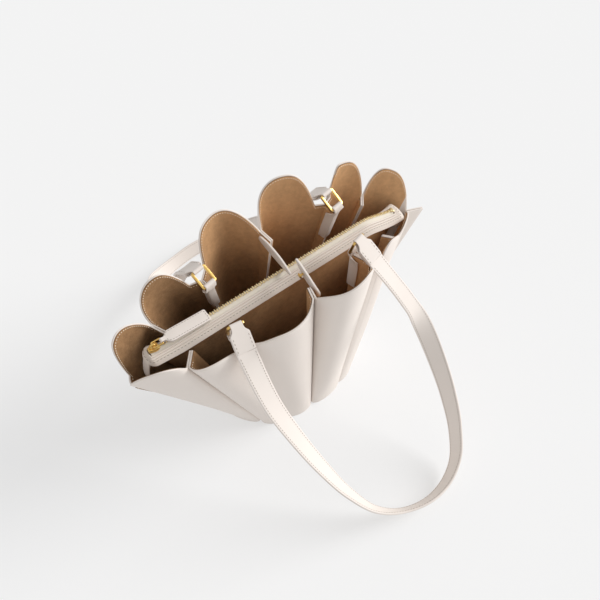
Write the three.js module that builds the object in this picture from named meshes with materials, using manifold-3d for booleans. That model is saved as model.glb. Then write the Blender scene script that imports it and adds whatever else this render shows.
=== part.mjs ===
// Shell-shaped leather tote: twelve scalloped petals, pleated round a zipped divider.
// Millimetres, +Z up, origin under the middle of the base, the front towards -Y.
import * as THREE from 'three';
import { mergeVertices } from 'three/addons/utils/BufferGeometryUtils.js';
import Module from 'manifold-3d';

const wasm = await Module();
wasm.setup();

const { lerp, degToRad, smoothstep } = THREE.MathUtils;
const UP = new THREE.Vector3(0, 0, 1);

// Wall thicknesses and the gap kept between pieces that touch
const GAP = 0.3;
const LEATHER = 1.6;
const SUEDE = 1.0;
const LINING_GAP = 0.6;
const LINING_DROP = 1.2;

// Base
const BASE_THICK = 2.2;
const BASE_LINING_HALF = { x: 86, y: 53 };
const PETAL_FOOT = BASE_THICK + GAP;

// Petals: steps round the scallop, heights of the rows, and the small pleat left at the foot
const CAP_STEPS = 10;
const PETAL_ROWS = [0, 0.3, 0.6, 0.85, 1];
const PLEAT_RISE = 3;
const FOOT_PLEAT = 3;
const FOOT_BULGE = 8;

// A row for each pleat: the inner top corner, the depth of the fold, the way it points,
// how far the petals spread from it, where its valley meets the base, and beside the rings how far
// the rims hold low before they rise; a fin folds outwards, so its row gives the root instead
const PLEATS = {
  endLeft: { x: -183, y: 1, z: 180, depth: 14, angle: 180, spread: 26, footX: -98, footY: 0 },
  back1: { x: -144, y: 17, z: 218, depth: 17, angle: 118, spread: 15, footX: -72, footY: 44 },
  back2: { x: -80, y: 27, z: 229, depth: 14, angle: 100, spread: 56, hold: 13, footX: -42, footY: 58 },
  back3: { x: 6, y: 34, z: 238, depth: 17, angle: 100, spread: 15, footX: 0, footY: 64 },
  back4: { x: 91, y: 26, z: 233, depth: 16, angle: 100, spread: 56, hold: 13, footX: 45, footY: 56 },
  back5: { x: 133, y: 27, z: 214, depth: 13, angle: 52, spread: 15, footX: 72, footY: 45 },
  endRight: { x: 188, y: 4, z: 184, depth: 22, angle: -17, spread: 100, footX: 98, footY: 0, fin: true },
  front5: { x: 127, y: -16, z: 206, depth: 15, angle: 300, spread: 15, footX: 72, footY: -44 },
  front4: { x: 69, y: -30, z: 233, depth: 24, angle: 286, spread: 56, hold: 13, footX: 41, footY: -61 },
  front3: { x: -1, y: -41, z: 242, depth: 17, angle: 254, spread: 15, footX: -5, footY: -61 },
  front2: { x: -89, y: -32, z: 222, depth: 15, angle: 261, spread: 56, hold: 10, footX: -41, footY: -60 },
  front1: { x: -134, y: -17, z: 218, depth: 21, angle: 230, spread: 15, footX: -72, footY: -42 },
};

// A row for each petal: the pleats at its left and right, its bulge, the rise of its scallop,
// how far the top leans along X, how round the scallop is, and how far its left end holds low
const PETALS = {
  back_1: { left: 'endLeft', right: 'back1', bulge: 11, rise: 44, lean: -14, roundness: 2.2, holdLeft: 14 },
  back_2: { left: 'back1', right: 'back2', bulge: 17, rise: 45, lean: -9, roundness: 2.3 },
  back_3: { left: 'back2', right: 'back3', bulge: 34, rise: 44, lean: -11, roundness: 3 },
  back_4: { left: 'back3', right: 'back4', bulge: 28, rise: 54, lean: 3, roundness: 2.4 },
  back_5: { left: 'back4', right: 'back5', bulge: 15, rise: 49, lean: -1, roundness: 3.8 },
  back_6: { left: 'back5', right: 'endRight', bulge: 10, rise: 45, lean: 6, roundness: 2.8 },
  front_1: { left: 'endLeft', right: 'front1', bulge: 20, rise: 35, lean: 3, roundness: 2.3 },
  front_2: { left: 'front1', right: 'front2', bulge: 18, rise: 8, lean: 6, roundness: 2 },
  front_3: { left: 'front2', right: 'front3', bulge: 30, rise: 13, lean: -8, roundness: 2.6, holdLeft: 24 },
  front_4: { left: 'front3', right: 'front4', bulge: 37, rise: 40, lean: 6, roundness: 1.9 },
  front_5: { left: 'front4', right: 'front5', bulge: 15, rise: 28, lean: -6, roundness: 2 },
  front_6: { left: 'front5', right: 'endRight', bulge: 10, rise: 12, lean: -2, roundness: 2 },
};

// Zipped divider: the line of the zip, the leather band round it and the suede pocket below
const ZIP = { y: 2, z: 227, fall: 16, bendX: 105, endX: 168, leftX: -166, rightX: 156 };
const BAND = { leftX: -178, rightX: 170, round: 5, flare: 45, thick: 1.4, sideSteps: 20, endSteps: 4 };
// Offsets from the zip line of the slot's edge and of the skirt's edge, along the middle and at the ends
const BAND_EDGES = {
  middle: {
    frontSlot: { y: -5.5, z: -3.5 },
    frontSkirt: { y: -15, z: -11.9 },
    backSlot: { y: 4.4, z: -6 },
    backSkirt: { y: 6.5, z: -18 },
  },
  end: {
    frontSlot: { y: -5, z: -1.5 },
    frontSkirt: { y: -14, z: -9 },
    backSlot: { y: 5, z: -0.5 },
    backSkirt: { y: 12, z: -5 },
  },
};
const TAPE = { thick: 0.7, steps: 20 };
const TAPE_EDGES = {
  middle: { front: { y: -6.6, z: -7.1 }, ridge: { y: 0, z: -1 }, back: { y: 2.8, z: -8 } },
  end: { front: { y: -4.4, z: -3.6 }, ridge: { y: 0, z: -1 }, back: { y: 4.4, z: -3.4 } },
};
const TEETH = { width: 4.4, thick: 1.6, lift: -0.7, leftX: -158.6, steps: 20 };
const POCKET = {
  wall: 1.4,
  corner: 4,
  steps: 24,
  rows: 4,
  belly: 4,
  foot: { left: -82, right: 82, half: 7, y: 0 },
  mouth: { left: -164, right: 150, half: 6.2, y: -0.9, drop: 10.5 },
};
const END_TAB_THICK = 1.6;
// Routes of the two end tabs, from inside the band to the inner edge of the end pleat
const END_TAB_ROUTES = {
  left: [
    { x: -174.2, z: 217.6, width: 12 },
    { x: -178, z: 205, width: 12 },
    { x: -180, z: 184, width: 11 },
    { x: -173, z: 164, width: 10 },
  ],
  right: [
    { x: 164.4, z: 202, width: 9 },
    { x: 170.4, z: 195, width: 9 },
    { x: 174.6, z: 186, width: 8 },
    { x: 170.6, z: 172, width: 7 },
  ],
};

// Zip slider, its swinging link and the leather pull
const SLIDER = { x: -165, length: 12, width: 8.6, height: 4.6, bevel: 0.8 };
const BAIL = { half: 4.2, rise: 5.6, width: 2.4, wall: 1.3 };
const PIVOT_LIFT = 7.6;
const LINK = { length: 12, width: 8.4, wire: 1.4 };
const PULL = { length: 55, width: 15, thick: 2.6, neckWidth: 4.6, neckLength: 7, eye: 1.1 };
const PULL_DIP = 4;

// Strap hardware
const RING = { width: 19, length: 22, bar: 2.6, corner: 2.4, bevel: 0.6, lift: 9 };
const RING_TAB = { thick: 1.4, eye: 1.75, clear: 0.3, tail: 5 };
const STRAP_END = { width: 21, eyeWidth: 13, neck: 4, shoulder: 9, length: 29, thick: 1.3, eye: 1.65 };
const STRAP = { width: 22, thick: 2.6, stepsEach: 3, start: 10 };
// A row for each ring: its pleat, how far it stands up, and how steeply the strap leaves it
const RINGS = {
  back_left: { pleat: 'back2', tilt: 30, dip: 40 },
  back_right: { pleat: 'back4', tilt: 33, dip: 40 },
  front_left: { pleat: 'front2', tilt: 76, dip: 42 },
  front_right: { pleat: 'front4', tilt: 78, dip: 37 },
};
// Route of each strap between its two rings: points down one leg, along the floor and up the other;
// roll turns the band from lying flat to standing on its edge
const STRAP_ROUTES = {
  front: {
    from: 'front_left',
    to: 'front_right',
    rows: [
      { x: -91, y: -98, z: 170, roll: -6 },
      { x: -84, y: -128, z: 135, roll: -14 },
      { x: -72, y: -163, z: 94, roll: -24 },
      { x: -57, y: -194, z: 57, roll: -36 },
      { x: -36, y: -222, z: 27, roll: -50 },
      { x: -8, y: -240, z: 13, roll: -62 },
      { x: 24, y: -249, z: 11.6, roll: -62 },
      { x: 56, y: -246, z: 12.5, roll: -60 },
      { x: 82, y: -233, z: 22, roll: -62 },
      { x: 99, y: -209, z: 45, roll: -64 },
      { x: 108, y: -178, z: 80, roll: -58 },
      { x: 111, y: -145, z: 118, roll: -46 },
      { x: 108, y: -112, z: 160, roll: -26 },
      { x: 96, y: -92, z: 196, roll: -8 },
    ],
  },
  back: {
    from: 'back_right',
    to: 'back_left',
    rows: [
      { x: 86, y: 84, z: 190, roll: -4 },
      { x: 91, y: 106, z: 148, roll: -8 },
      { x: 97, y: 136, z: 104, roll: -14 },
      { x: 100, y: 166, z: 70, roll: -26 },
      { x: 94, y: 196, z: 42, roll: -44 },
      { x: 72, y: 219, z: 18, roll: -60 },
      { x: 38, y: 231, z: 11.6, roll: -66 },
      { x: 2, y: 233, z: 11.6, roll: -66 },
      { x: -36, y: 227, z: 13, roll: -64 },
      { x: -66, y: 212, z: 26, roll: -54 },
      { x: -82, y: 190, z: 50, roll: -38 },
      { x: -90, y: 160, z: 80, roll: -24 },
      { x: -92, y: 126, z: 116, roll: -12 },
      { x: -90, y: 98, z: 158, roll: -6 },
      { x: -87, y: 80, z: 196, roll: -3 },
    ],
  },
};

// Snap tabs: side outlines as rows of y and z, and the stud on the front one
const SNAP_THICK = 2.4;
const SNAP_TABS = {
  back: {
    x: -2.6,
    outline: [
      { y: 47, z: 240 },
      { y: 30, z: 243.5 },
      { y: 8, z: 241 },
      { y: -8, z: 234 },
      { y: -11, z: 230 },
      { y: -8, z: 228.4 },
      { y: 8, z: 228.4 },
      { y: 30, z: 230 },
      { y: 47, z: 233 },
    ],
  },
  front: {
    x: 2.9,
    outline: [
      { y: -53, z: 232 },
      { y: -40, z: 234 },
      { y: -24, z: 242 },
      { y: -12, z: 254 },
      { y: -11.5, z: 257 },
      { y: -15, z: 257.5 },
      { y: -30, z: 251.5 },
      { y: -43, z: 245 },
      { y: -53, z: 241 },
    ],
  },
};
const STUD = { y: -26, z: 246.5, stem: 1.3, head: 3.2, stemLength: 3.6, headLength: 1.4, sides: 14 };

// Finishes
const finish = (color, roughness, metalness = 0) => ({ color, roughness, metalness });
const FINISHES = {
  leather: finish(0xece6dd, 0.5),
  suede: finish(0x8c6640, 0.95),
  tape: finish(0xe2dacd, 0.8),
  gold: finish(0xd8b45c, 0.22, 1),
};

const bag = new THREE.Group();

function addPiece(name, geometry, finishName, parent = bag) {
  const mesh = new THREE.Mesh(geometry, new THREE.MeshStandardMaterial(FINISHES[finishName]));
  mesh.name = name;
  parent.add(mesh);
  return mesh;
}

// Solid from shared points and triangles, turned so that its faces point out
function solid(points, triangles) {
  let volume = 0;
  for (const [a, b, c] of triangles) {
    volume += points[a].dot(new THREE.Vector3().crossVectors(points[b], points[c]));
  }
  const facing = volume < 0 ? triangles.map(([a, b, c]) => [a, c, b]) : triangles;
  const geometry = new THREE.BufferGeometry().setFromPoints(points);
  geometry.setIndex(facing.flat());
  geometry.computeVertexNormals();
  return geometry;
}

// Closes two facing grids of points into a wall; a ring joins its last column to its first
function wall(near, far, ring = false) {
  const rows = near.length;
  const columns = near[0].length;
  const points = [...near.flat(), ...far.flat()];
  const at = (row, column) => row * columns + (column % columns);
  const shift = rows * columns;
  const triangles = [];
  const quad = (a, b, c, d) => triangles.push([a, b, c], [a, c, d]);
  const spans = ring ? columns : columns - 1;
  for (let row = 0; row < rows - 1; row += 1) {
    for (let column = 0; column < spans; column += 1) {
      const corners = [at(row, column), at(row, column + 1), at(row + 1, column + 1), at(row + 1, column)];
      quad(...corners);
      const [a, b, c, d] = corners.map((i) => i + shift);
      quad(a, d, c, b);
    }
  }
  for (let column = 0; column < spans; column += 1) {
    quad(at(0, column + 1), at(0, column), at(0, column) + shift, at(0, column + 1) + shift);
    const top = rows - 1;
    quad(at(top, column), at(top, column + 1), at(top, column + 1) + shift, at(top, column) + shift);
  }
  for (let row = 0; row < rows - 1 && !ring; row += 1) {
    quad(at(row, 0), at(row + 1, 0), at(row + 1, 0) + shift, at(row, 0) + shift);
    const end = columns - 1;
    quad(at(row + 1, end), at(row, end), at(row, end) + shift, at(row + 1, end) + shift);
  }
  return solid(points, triangles);
}

// Normal at each point of a grid, from its neighbours
function gridNormals(grid, ring = false) {
  const rows = grid.length;
  const columns = grid[0].length;
  const column = (c) => (ring ? (c + columns) % columns : Math.min(Math.max(c, 0), columns - 1));
  const row = (r) => Math.min(Math.max(r, 0), rows - 1);
  return grid.map((line, r) => line.map((_, c) => {
    const along = new THREE.Vector3().subVectors(grid[r][column(c + 1)], grid[r][column(c - 1)]);
    const across = new THREE.Vector3().subVectors(grid[row(r + 1)][c], grid[row(r - 1)][c]);
    return along.cross(across).normalize();
  }));
}

function offsetGrid(grid, distance, ring = false) {
  const normals = gridNormals(grid, ring);
  return grid.map((line, r) => line.map((p, c) => p.clone().addScaledVector(normals[r][c], distance)));
}

// Solid band through a list of frames: centre, the way across, width and thickness
function band(frames) {
  const points = [];
  for (const { centre, across, out, width, thick } of frames) {
    for (const [w, t] of [[-1, -1], [1, -1], [1, 1], [-1, 1]]) {
      const edge = centre.clone().addScaledVector(across, (w * width) / 2);
      points.push(edge.addScaledVector(out, (t * thick) / 2));
    }
  }
  const triangles = [];
  for (let i = 0; i < frames.length - 1; i += 1) {
    for (let side = 0; side < 4; side += 1) {
      const a = i * 4 + side;
      const b = i * 4 + ((side + 1) % 4);
      triangles.push([a, b, b + 4], [a, b + 4, a + 4]);
    }
  }
  const last = (frames.length - 1) * 4;
  triangles.push([0, 2, 1], [0, 3, 2], [last, last + 1, last + 2], [last, last + 2, last + 3]);
  return solid(points, triangles);
}

function extruded(shape, depth, options = {}) {
  return new THREE.ExtrudeGeometry(shape, { depth, bevelEnabled: false, curveSegments: 8, ...options });
}

function shapeOf(rows, first, second) {
  return new THREE.Shape(rows.map((row) => new THREE.Vector2(row[first], row[second])));
}

function manifoldOf(geometry) {
  const bare = geometry.clone();
  bare.deleteAttribute('normal');
  bare.deleteAttribute('uv');
  const merged = mergeVertices(bare, 1e-4);
  return new wasm.Manifold(new wasm.Mesh({
    numProp: 3,
    vertProperties: new Float32Array(merged.attributes.position.array),
    triVerts: new Uint32Array(merged.index.array),
  }));
}

function fused(...geometries) {
  const whole = geometries.map(manifoldOf).reduce((sum, next) => sum.add(next)).getMesh();
  const geometry = new THREE.BufferGeometry();
  geometry.setAttribute('position', new THREE.BufferAttribute(whole.vertProperties, 3));
  geometry.setIndex(new THREE.BufferAttribute(whole.triVerts, 1));
  geometry.computeVertexNormals();
  return geometry;
}

// Pleats and petals
const turned = (vector, degrees) => vector.clone().applyAxisAngle(UP, degToRad(degrees));
const pleatWay = (pleat) => turned(new THREE.Vector3(1, 0, 0), pleat.angle);
const pleatTop = (pleat) => new THREE.Vector3(pleat.x, pleat.y, pleat.z);

// One line of a petal in plan: in along the left pleat, round the bulge, out along the right pleat
function petalLine(row, corners, depths, bulge) {
  const pleats = [PLEATS[row.left], PLEATS[row.right]];
  const ways = pleats.map(pleatWay);
  const chord = new THREE.Vector3().subVectors(corners[1], corners[0]);
  const side = Math.sign(new THREE.Vector3().crossVectors(ways[0], chord).z);
  const sideways = [turned(ways[0], 90 * side), turned(ways[1], -90 * side)];
  const apart = pleats.map((pleat) => (pleat.fin ? GAP + LEATHER : GAP));
  const near = corners.map((p, i) => p.clone().addScaledVector(sideways[i], apart[i]));
  const far = near.map((p, i) => p.clone().addScaledVector(ways[i], depths[i]));
  const inner = pleats.map((pleat, i) => (pleat.fin ? far[i] : near[i]));
  const valley = pleats.map((pleat, i) => (pleat.fin ? near[i] : far[i]));
  const spread = [pleats[0].spread * side, -pleats[1].spread * side];
  const handles = valley.map((p, i) => p.clone().addScaledVector(turned(ways[i], spread[i]), bulge / 0.75));
  const cap = new THREE.CubicBezierCurve3(valley[0], handles[0], handles[1], valley[1]);
  const points = [inner[0], ...cap.getSpacedPoints(CAP_STEPS), inner[1]];
  return { side, length: cap.getLength(), points };
}

function petalFootLine(row) {
  const pleats = [PLEATS[row.left], PLEATS[row.right]];
  const corners = pleats.map((p) => {
    const foot = new THREE.Vector3(p.footX, p.footY, PETAL_FOOT);
    return foot.addScaledVector(pleatWay(p), -FOOT_PLEAT);
  });
  return petalLine(row, corners, [FOOT_PLEAT, FOOT_PLEAT], FOOT_BULGE);
}

// Rim of a petal: level along the pleats, then up and over the scallop
function petalRimLine(row) {
  const pleats = [PLEATS[row.left], PLEATS[row.right]];
  const rim = petalLine(row, pleats.map(pleatTop), pleats.map((p) => p.depth), row.bulge);
  const half = rim.length / 2;
  rim.points.forEach((p, i) => {
    const along = THREE.MathUtils.clamp((i - 1) / CAP_STEPS, 0, 1);
    const hold = (along < 0.5 ? row.holdLeft ?? pleats[0].hold : pleats[1].hold) ?? 0;
    const climb = Math.max((1 - Math.abs(2 * along - 1)) * half - hold, 0) / (half - hold);
    const lift = 1 - (1 - climb) ** row.roundness;
    const onPleat = i === 0 || i === rim.points.length - 1;
    p.z = lerp(pleats[0].z, pleats[1].z, along) + row.rise * lift + (onPleat ? 0 : PLEAT_RISE);
    p.x += row.lean * lift;
  });
  return rim;
}

// Outer face of a petal as rows from the foot to the rim, stopping short of the rim and of the
// pleats' inner edges by the drop, and the sign that offsets it inwards; a lining stays out of the fins
function petalGrid(row, drop) {
  const foot = petalFootLine(row);
  const rim = petalRimLine(row).points;
  const grid = PETAL_ROWS.map((v) => {
    const line = foot.points.map((p, i) => p.clone().lerp(rim[i], v * (1 - drop / rim[i].z)));
    line[0].lerp(line[1], drop / PLEATS[row.left].depth);
    line.at(-1).lerp(line.at(-2), drop / PLEATS[row.right].depth);
    return drop && PLEATS[row.right].fin ? line.slice(0, -2) : line;
  });
  return { grid, inwards: -foot.side };
}

function petalWall(row, offset, thick, drop) {
  const { grid, inwards } = petalGrid(row, drop);
  const faces = [offset, offset + thick].map((distance) => offsetGrid(grid, inwards * distance));
  faces.forEach((face) => face[0].forEach((p) => p.setZ(PETAL_FOOT)));
  return wall(...faces);
}

for (const [name, row] of Object.entries(PETALS)) {
  addPiece(`petal_${name}`, petalWall(row, 0, LEATHER, 0), 'leather');
  addPiece(`lining_${name}`, petalWall(row, LEATHER + LINING_GAP, SUEDE, LINING_DROP), 'suede');
}

// Base panel under the petals, with their scalloped outline, and its lining
const footOutline = [];
for (const [name, row] of Object.entries(PETALS)) {
  const line = petalFootLine(row).points.slice(1, -1).map((p) => new THREE.Vector2(p.x, p.y));
  if (name.startsWith('back')) {
    footOutline.push(...line);
  }
}
for (const name of Object.keys(PETALS).filter((key) => key.startsWith('front')).reverse()) {
  const line = petalFootLine(PETALS[name]).points.slice(1, -1).map((p) => new THREE.Vector2(p.x, p.y));
  footOutline.push(...line.reverse());
}
addPiece('base', extruded(new THREE.Shape(footOutline), BASE_THICK), 'leather');

const baseLiningShape = new THREE.Shape();
baseLiningShape.absellipse(0, 0, BASE_LINING_HALF.x, BASE_LINING_HALF.y, 0, 2 * Math.PI, false, 0);
const baseLining = extruded(baseLiningShape, SUEDE, { curveSegments: 32 });
addPiece('base_lining', baseLining, 'suede').position.z = PETAL_FOOT;

// Height of the zip along the divider, and how near a place is to the divider's ends
const zipHeight = (x) => ZIP.z - ZIP.fall * smoothstep(x, ZIP.bendX, ZIP.endX);
function endShare(x) {
  const fromLeft = 1 - smoothstep(x, BAND.leftX, BAND.leftX + BAND.flare);
  return fromLeft + smoothstep(x, BAND.rightX - BAND.flare, BAND.rightX);
}

// Point beside the zip line, blended between its offset in the middle and at the ends
function besideZip(x, edges, edge) {
  const share = endShare(x);
  const { middle, end } = edges;
  const y = ZIP.y + lerp(middle[edge].y, end[edge].y, share);
  return new THREE.Vector3(x, y, zipHeight(x) + lerp(middle[edge].z, end[edge].z, share));
}

// Loop round the band: along the front, round the right end, along the back, round the left end
function bandLoop(edge, leftX, rightX, round) {
  const { sideSteps, endSteps } = BAND;
  const loop = [];
  const corner = (x, share) => {
    const back = besideZip(x, BAND_EDGES, `back${edge}`);
    return besideZip(x, BAND_EDGES, `front${edge}`).lerp(back, share);
  };
  for (let i = 0; i <= sideSteps; i += 1) {
    loop.push(corner(lerp(leftX, rightX, i / sideSteps), 0));
  }
  for (let i = 1; i < endSteps; i += 1) {
    const share = i / endSteps;
    loop.push(corner(rightX, share).add(new THREE.Vector3(round * Math.sin(Math.PI * share), 0, 0)));
  }
  for (let i = 0; i <= sideSteps; i += 1) {
    loop.push(corner(lerp(rightX, leftX, i / sideSteps), 1));
  }
  for (let i = 1; i < endSteps; i += 1) {
    const share = 1 - i / endSteps;
    loop.push(corner(leftX, share).add(new THREE.Vector3(-round * Math.sin(Math.PI * share), 0, 0)));
  }
  return loop;
}

const slotLoop = bandLoop('Slot', ZIP.leftX - 6, ZIP.rightX + 3, 0);
const skirtLoop = bandLoop('Skirt', BAND.leftX + BAND.round, BAND.rightX - BAND.round, BAND.round);
const bandGrid = [skirtLoop, skirtLoop.map((p, i) => p.clone().lerp(slotLoop[i], 0.5)), slotLoop];
addPiece('zip_band', wall(bandGrid, offsetGrid(bandGrid, -BAND.thick, true), true), 'leather');

const tapeGrid = ['front', 'ridge', 'back'].map((edge) => {
  const line = [];
  for (let i = 0; i <= TAPE.steps; i += 1) {
    line.push(besideZip(lerp(ZIP.leftX - 4, ZIP.rightX + 2, i / TAPE.steps), TAPE_EDGES, edge));
  }
  return line;
});
addPiece('zip_tape', wall(tapeGrid, offsetGrid(tapeGrid, -TAPE.thick)), 'tape');

const teethFrames = [];
for (let i = 0; i <= TEETH.steps; i += 1) {
  const x = lerp(TEETH.leftX, ZIP.rightX, i / TEETH.steps);
  teethFrames.push({
    centre: new THREE.Vector3(x, ZIP.y, zipHeight(x) + TEETH.lift + TEETH.thick / 2),
    across: new THREE.Vector3(0, 1, 0),
    out: UP,
    width: TEETH.width,
    thick: TEETH.thick,
  });
}
addPiece('zip_teeth', band(teethFrames), 'gold');

// Suede pocket below the band: an open bag with a rounded oblong plan
function pocketLoop(share, inset, lift) {
  const { foot, mouth, belly, steps, corner } = POCKET;
  const loop = [];
  for (let i = 0; i < steps; i += 1) {
    const turn = (2 * Math.PI * (i + 0.5)) / steps;
    const bend = (value) => Math.sign(value) * Math.abs(value) ** (2 / corner);
    const bendX = bend(Math.cos(turn));
    const oblong = ({ left, right, half, y }) => {
      const reach = (right - left) / 2 - inset;
      const x = (left + right) / 2 + reach * bendX;
      return new THREE.Vector3(x, y + (half - inset) * bend(Math.sin(turn)), 0);
    };
    const low = oblong(foot).setZ(PETAL_FOOT + SUEDE + GAP + lift);
    const high = oblong(mouth);
    high.z = zipHeight(high.x) - mouth.drop;
    const point = low.lerp(high, share);
    point.y += belly * Math.sin(Math.PI * share) * bend(Math.sin(turn));
    loop.push(point);
  }
  return loop;
}

function pocketGeometry() {
  const { rows, wall: thick, steps } = POCKET;
  const loops = [];
  for (let i = 0; i <= rows; i += 1) {
    loops.push(pocketLoop(i / rows, 0, 0));
  }
  for (let i = rows; i >= 0; i -= 1) {
    loops.push(pocketLoop(i / rows, thick, thick));
  }
  const points = loops.flat();
  const triangles = [];
  for (let row = 0; row < loops.length - 1; row += 1) {
    for (let i = 0; i < steps; i += 1) {
      const [a, b] = [row * steps + i, row * steps + ((i + 1) % steps)];
      triangles.push([a, b, b + steps], [a, b + steps, a + steps]);
    }
  }
  const inside = (loops.length - 1) * steps;
  for (let i = 1; i < steps - 1; i += 1) {
    triangles.push([0, i + 1, i], [inside, inside + i, inside + i + 1]);
  }
  return solid(points, triangles);
}
addPiece('divider_pocket', pocketGeometry(), 'suede');

for (const [side, route] of Object.entries(END_TAB_ROUTES)) {
  const pleat = PLEATS[side === 'left' ? 'endLeft' : 'endRight'];
  const across = new THREE.Vector3(0, 1, 0);
  const frames = route.map(({ x, z, width }, i) => {
    const before = route[Math.max(i - 1, 0)];
    const after = route[Math.min(i + 1, route.length - 1)];
    const along = new THREE.Vector3(after.x - before.x, 0, after.z - before.z).normalize();
    const y = lerp(ZIP.y, pleat.y - 1, i / (route.length - 1));
    const centre = new THREE.Vector3(x, y, z);
    return { centre, across, out: along.cross(across), width, thick: END_TAB_THICK };
  });
  addPiece(`end_tab_${side}`, band(frames), 'leather');
}

// Slider: a bevelled body with a bail standing on it
function sliderGeometry() {
  const { length, width, height, bevel } = SLIDER;
  const half = { x: length / 2 - bevel, y: width / 2 - bevel };
  const plan = new THREE.Shape();
  plan.moveTo(-half.x, -half.y * 0.55);
  plan.lineTo(half.x * 0.3, -half.y);
  plan.lineTo(half.x, -half.y * 0.8);
  plan.lineTo(half.x, half.y * 0.8);
  plan.lineTo(half.x * 0.3, half.y);
  plan.lineTo(-half.x, half.y * 0.55);
  plan.closePath();
  const bevels = { bevelEnabled: true, bevelThickness: bevel, bevelSize: bevel, bevelSegments: 1 };
  const body = extruded(plan, height - 2 * bevel, bevels).translate(0, 0, bevel);
  const bail = new THREE.Shape();
  bail.moveTo(BAIL.half, -bevel);
  bail.bezierCurveTo(BAIL.half, BAIL.rise * 1.33, -BAIL.half, BAIL.rise * 1.33, -BAIL.half, -bevel);
  const hole = new THREE.Path();
  const inner = { x: BAIL.half - BAIL.wall, z: BAIL.rise - BAIL.wall };
  hole.moveTo(-inner.x, 0.4);
  hole.bezierCurveTo(-inner.x, inner.z * 1.33, inner.x, inner.z * 1.33, inner.x, 0.4);
  bail.holes.push(hole);
  const arch = extruded(bail, BAIL.width).rotateX(Math.PI / 2).translate(0, BAIL.width / 2, height);
  return fused(body, arch);
}
const sliderBottom = zipHeight(SLIDER.x) - 0.6;
const slider = addPiece('zip_slider', sliderGeometry(), 'gold');
slider.position.set(SLIDER.x, ZIP.y, sliderBottom);

// Link and pull, hinged on the bail and lying back along the zip
const pull = new THREE.Group();
pull.position.set(SLIDER.x, ZIP.y, sliderBottom + PIVOT_LIFT);
pull.rotation.y = degToRad(PULL_DIP);
bag.add(pull);

function oblongShape(left, right, half, corner) {
  const shape = new THREE.Shape();
  shape.moveTo(left + corner, -half);
  shape.lineTo(right - corner, -half);
  shape.absarc(right - corner, -half + corner, corner, -Math.PI / 2, 0, false);
  shape.absarc(right - corner, half - corner, corner, 0, Math.PI / 2, false);
  shape.absarc(left + corner, half - corner, corner, Math.PI / 2, Math.PI, false);
  shape.absarc(left + corner, -half + corner, corner, Math.PI, 1.5 * Math.PI, false);
  shape.closePath();
  return shape;
}

const { wire } = LINK;
const linkShape = oblongShape(-wire / 2, LINK.length - wire / 2, LINK.width / 2, 1.6);
linkShape.holes.push(oblongShape(wire / 2, LINK.length - 1.5 * wire, LINK.width / 2 - wire, 0.8));
const linkCorners = { curveSegments: 1 };
addPiece('pull_link', extruded(linkShape, wire, linkCorners).translate(0, 0, -wire / 2), 'gold', pull);

// Leather pull: a narrow eye round the link's far bar, widening into the tongue
function pullGeometry() {
  const { length, width, thick, neckWidth, neckLength, eye } = PULL;
  const barX = LINK.length - wire;
  const neckSide = new THREE.Shape();
  neckSide.absarc(barX, 0, thick / 2 + 0.7, degToRad(70), degToRad(290), false);
  neckSide.lineTo(barX + neckLength, -thick / 2);
  neckSide.lineTo(barX + neckLength, thick / 2);
  neckSide.closePath();
  const hole = new THREE.Path();
  hole.absarc(barX, 0, eye, 0, 2 * Math.PI, false);
  neckSide.holes.push(hole);
  const neck = extruded(neckSide, neckWidth).rotateX(Math.PI / 2).translate(0, neckWidth / 2, 0);
  const tongue = new THREE.Shape();
  const start = barX + neckLength - 4;
  tongue.moveTo(start, -neckWidth / 2);
  tongue.lineTo(start + 6, -width / 2);
  tongue.lineTo(barX + length - 1.5, -width / 2);
  tongue.lineTo(barX + length, -width / 2 + 1.5);
  tongue.lineTo(barX + length, width / 2 - 1.5);
  tongue.lineTo(barX + length - 1.5, width / 2);
  tongue.lineTo(start + 6, width / 2);
  tongue.lineTo(start, neckWidth / 2);
  tongue.closePath();
  return fused(neck, extruded(tongue, thick).translate(0, 0, -thick / 2));
}
addPiece('zip_pull', pullGeometry(), 'leather', pull);

// Frame of a pleat: X along the bag's wall, Y outwards, Z up, at the pleat's inner top corner
function pleatFrame(pleat) {
  const frame = new THREE.Group();
  frame.position.copy(pleatTop(pleat));
  frame.rotation.z = degToRad(pleat.angle - 90);
  bag.add(frame);
  frame.updateMatrixWorld(true);
  return frame;
}

function ringOutline() {
  const { width, length, bar, corner, bevel } = RING;
  const outline = oblongShape(-bar / 2 + bevel, length - bar / 2 - bevel, width / 2 - bevel, corner - bevel);
  const hole = { left: bar / 2 - bevel, right: length - 1.5 * bar + bevel, half: width / 2 - bar + bevel };
  outline.holes.push(oblongShape(hole.left, hole.right, hole.half, 0.8));
  return outline;
}

function ringGeometry() {
  const { bar, bevel } = RING;
  const bevels = { bevelEnabled: true, bevelThickness: bevel, bevelSize: bevel, bevelSegments: 1 };
  const ring = extruded(ringOutline(), bar - 2 * bevel, { ...bevels, curveSegments: 1 });
  return ring.translate(0, 0, -bar / 2 + bevel).rotateZ(Math.PI / 2);
}

// Fold of leather round a bar along X, narrow at the bar, with two flaps running out along Y
function strapEndGeometry() {
  const { width, eyeWidth, neck, shoulder, length, thick, eye } = STRAP_END;
  const flap = [
    { y: length, width },
    { y: shoulder, width },
    { y: neck, width: eyeWidth },
  ];
  const fold = [90, 135, 180, 225, 270].map((degrees) => {
    const turn = degToRad(degrees);
    return { y: eye * Math.cos(turn), z: eye * Math.sin(turn), width: eyeWidth };
  });
  const upper = flap.map((row) => ({ ...row, z: eye }));
  const lower = flap.map((row) => ({ ...row, z: -eye })).reverse();
  const grid = [...upper, ...fold, ...lower].map((row) => [
    new THREE.Vector3(-row.width / 2, row.y, row.z),
    new THREE.Vector3(row.width / 2, row.y, row.z),
  ]);
  return wall(grid, offsetGrid(grid, -thick));
}

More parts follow.
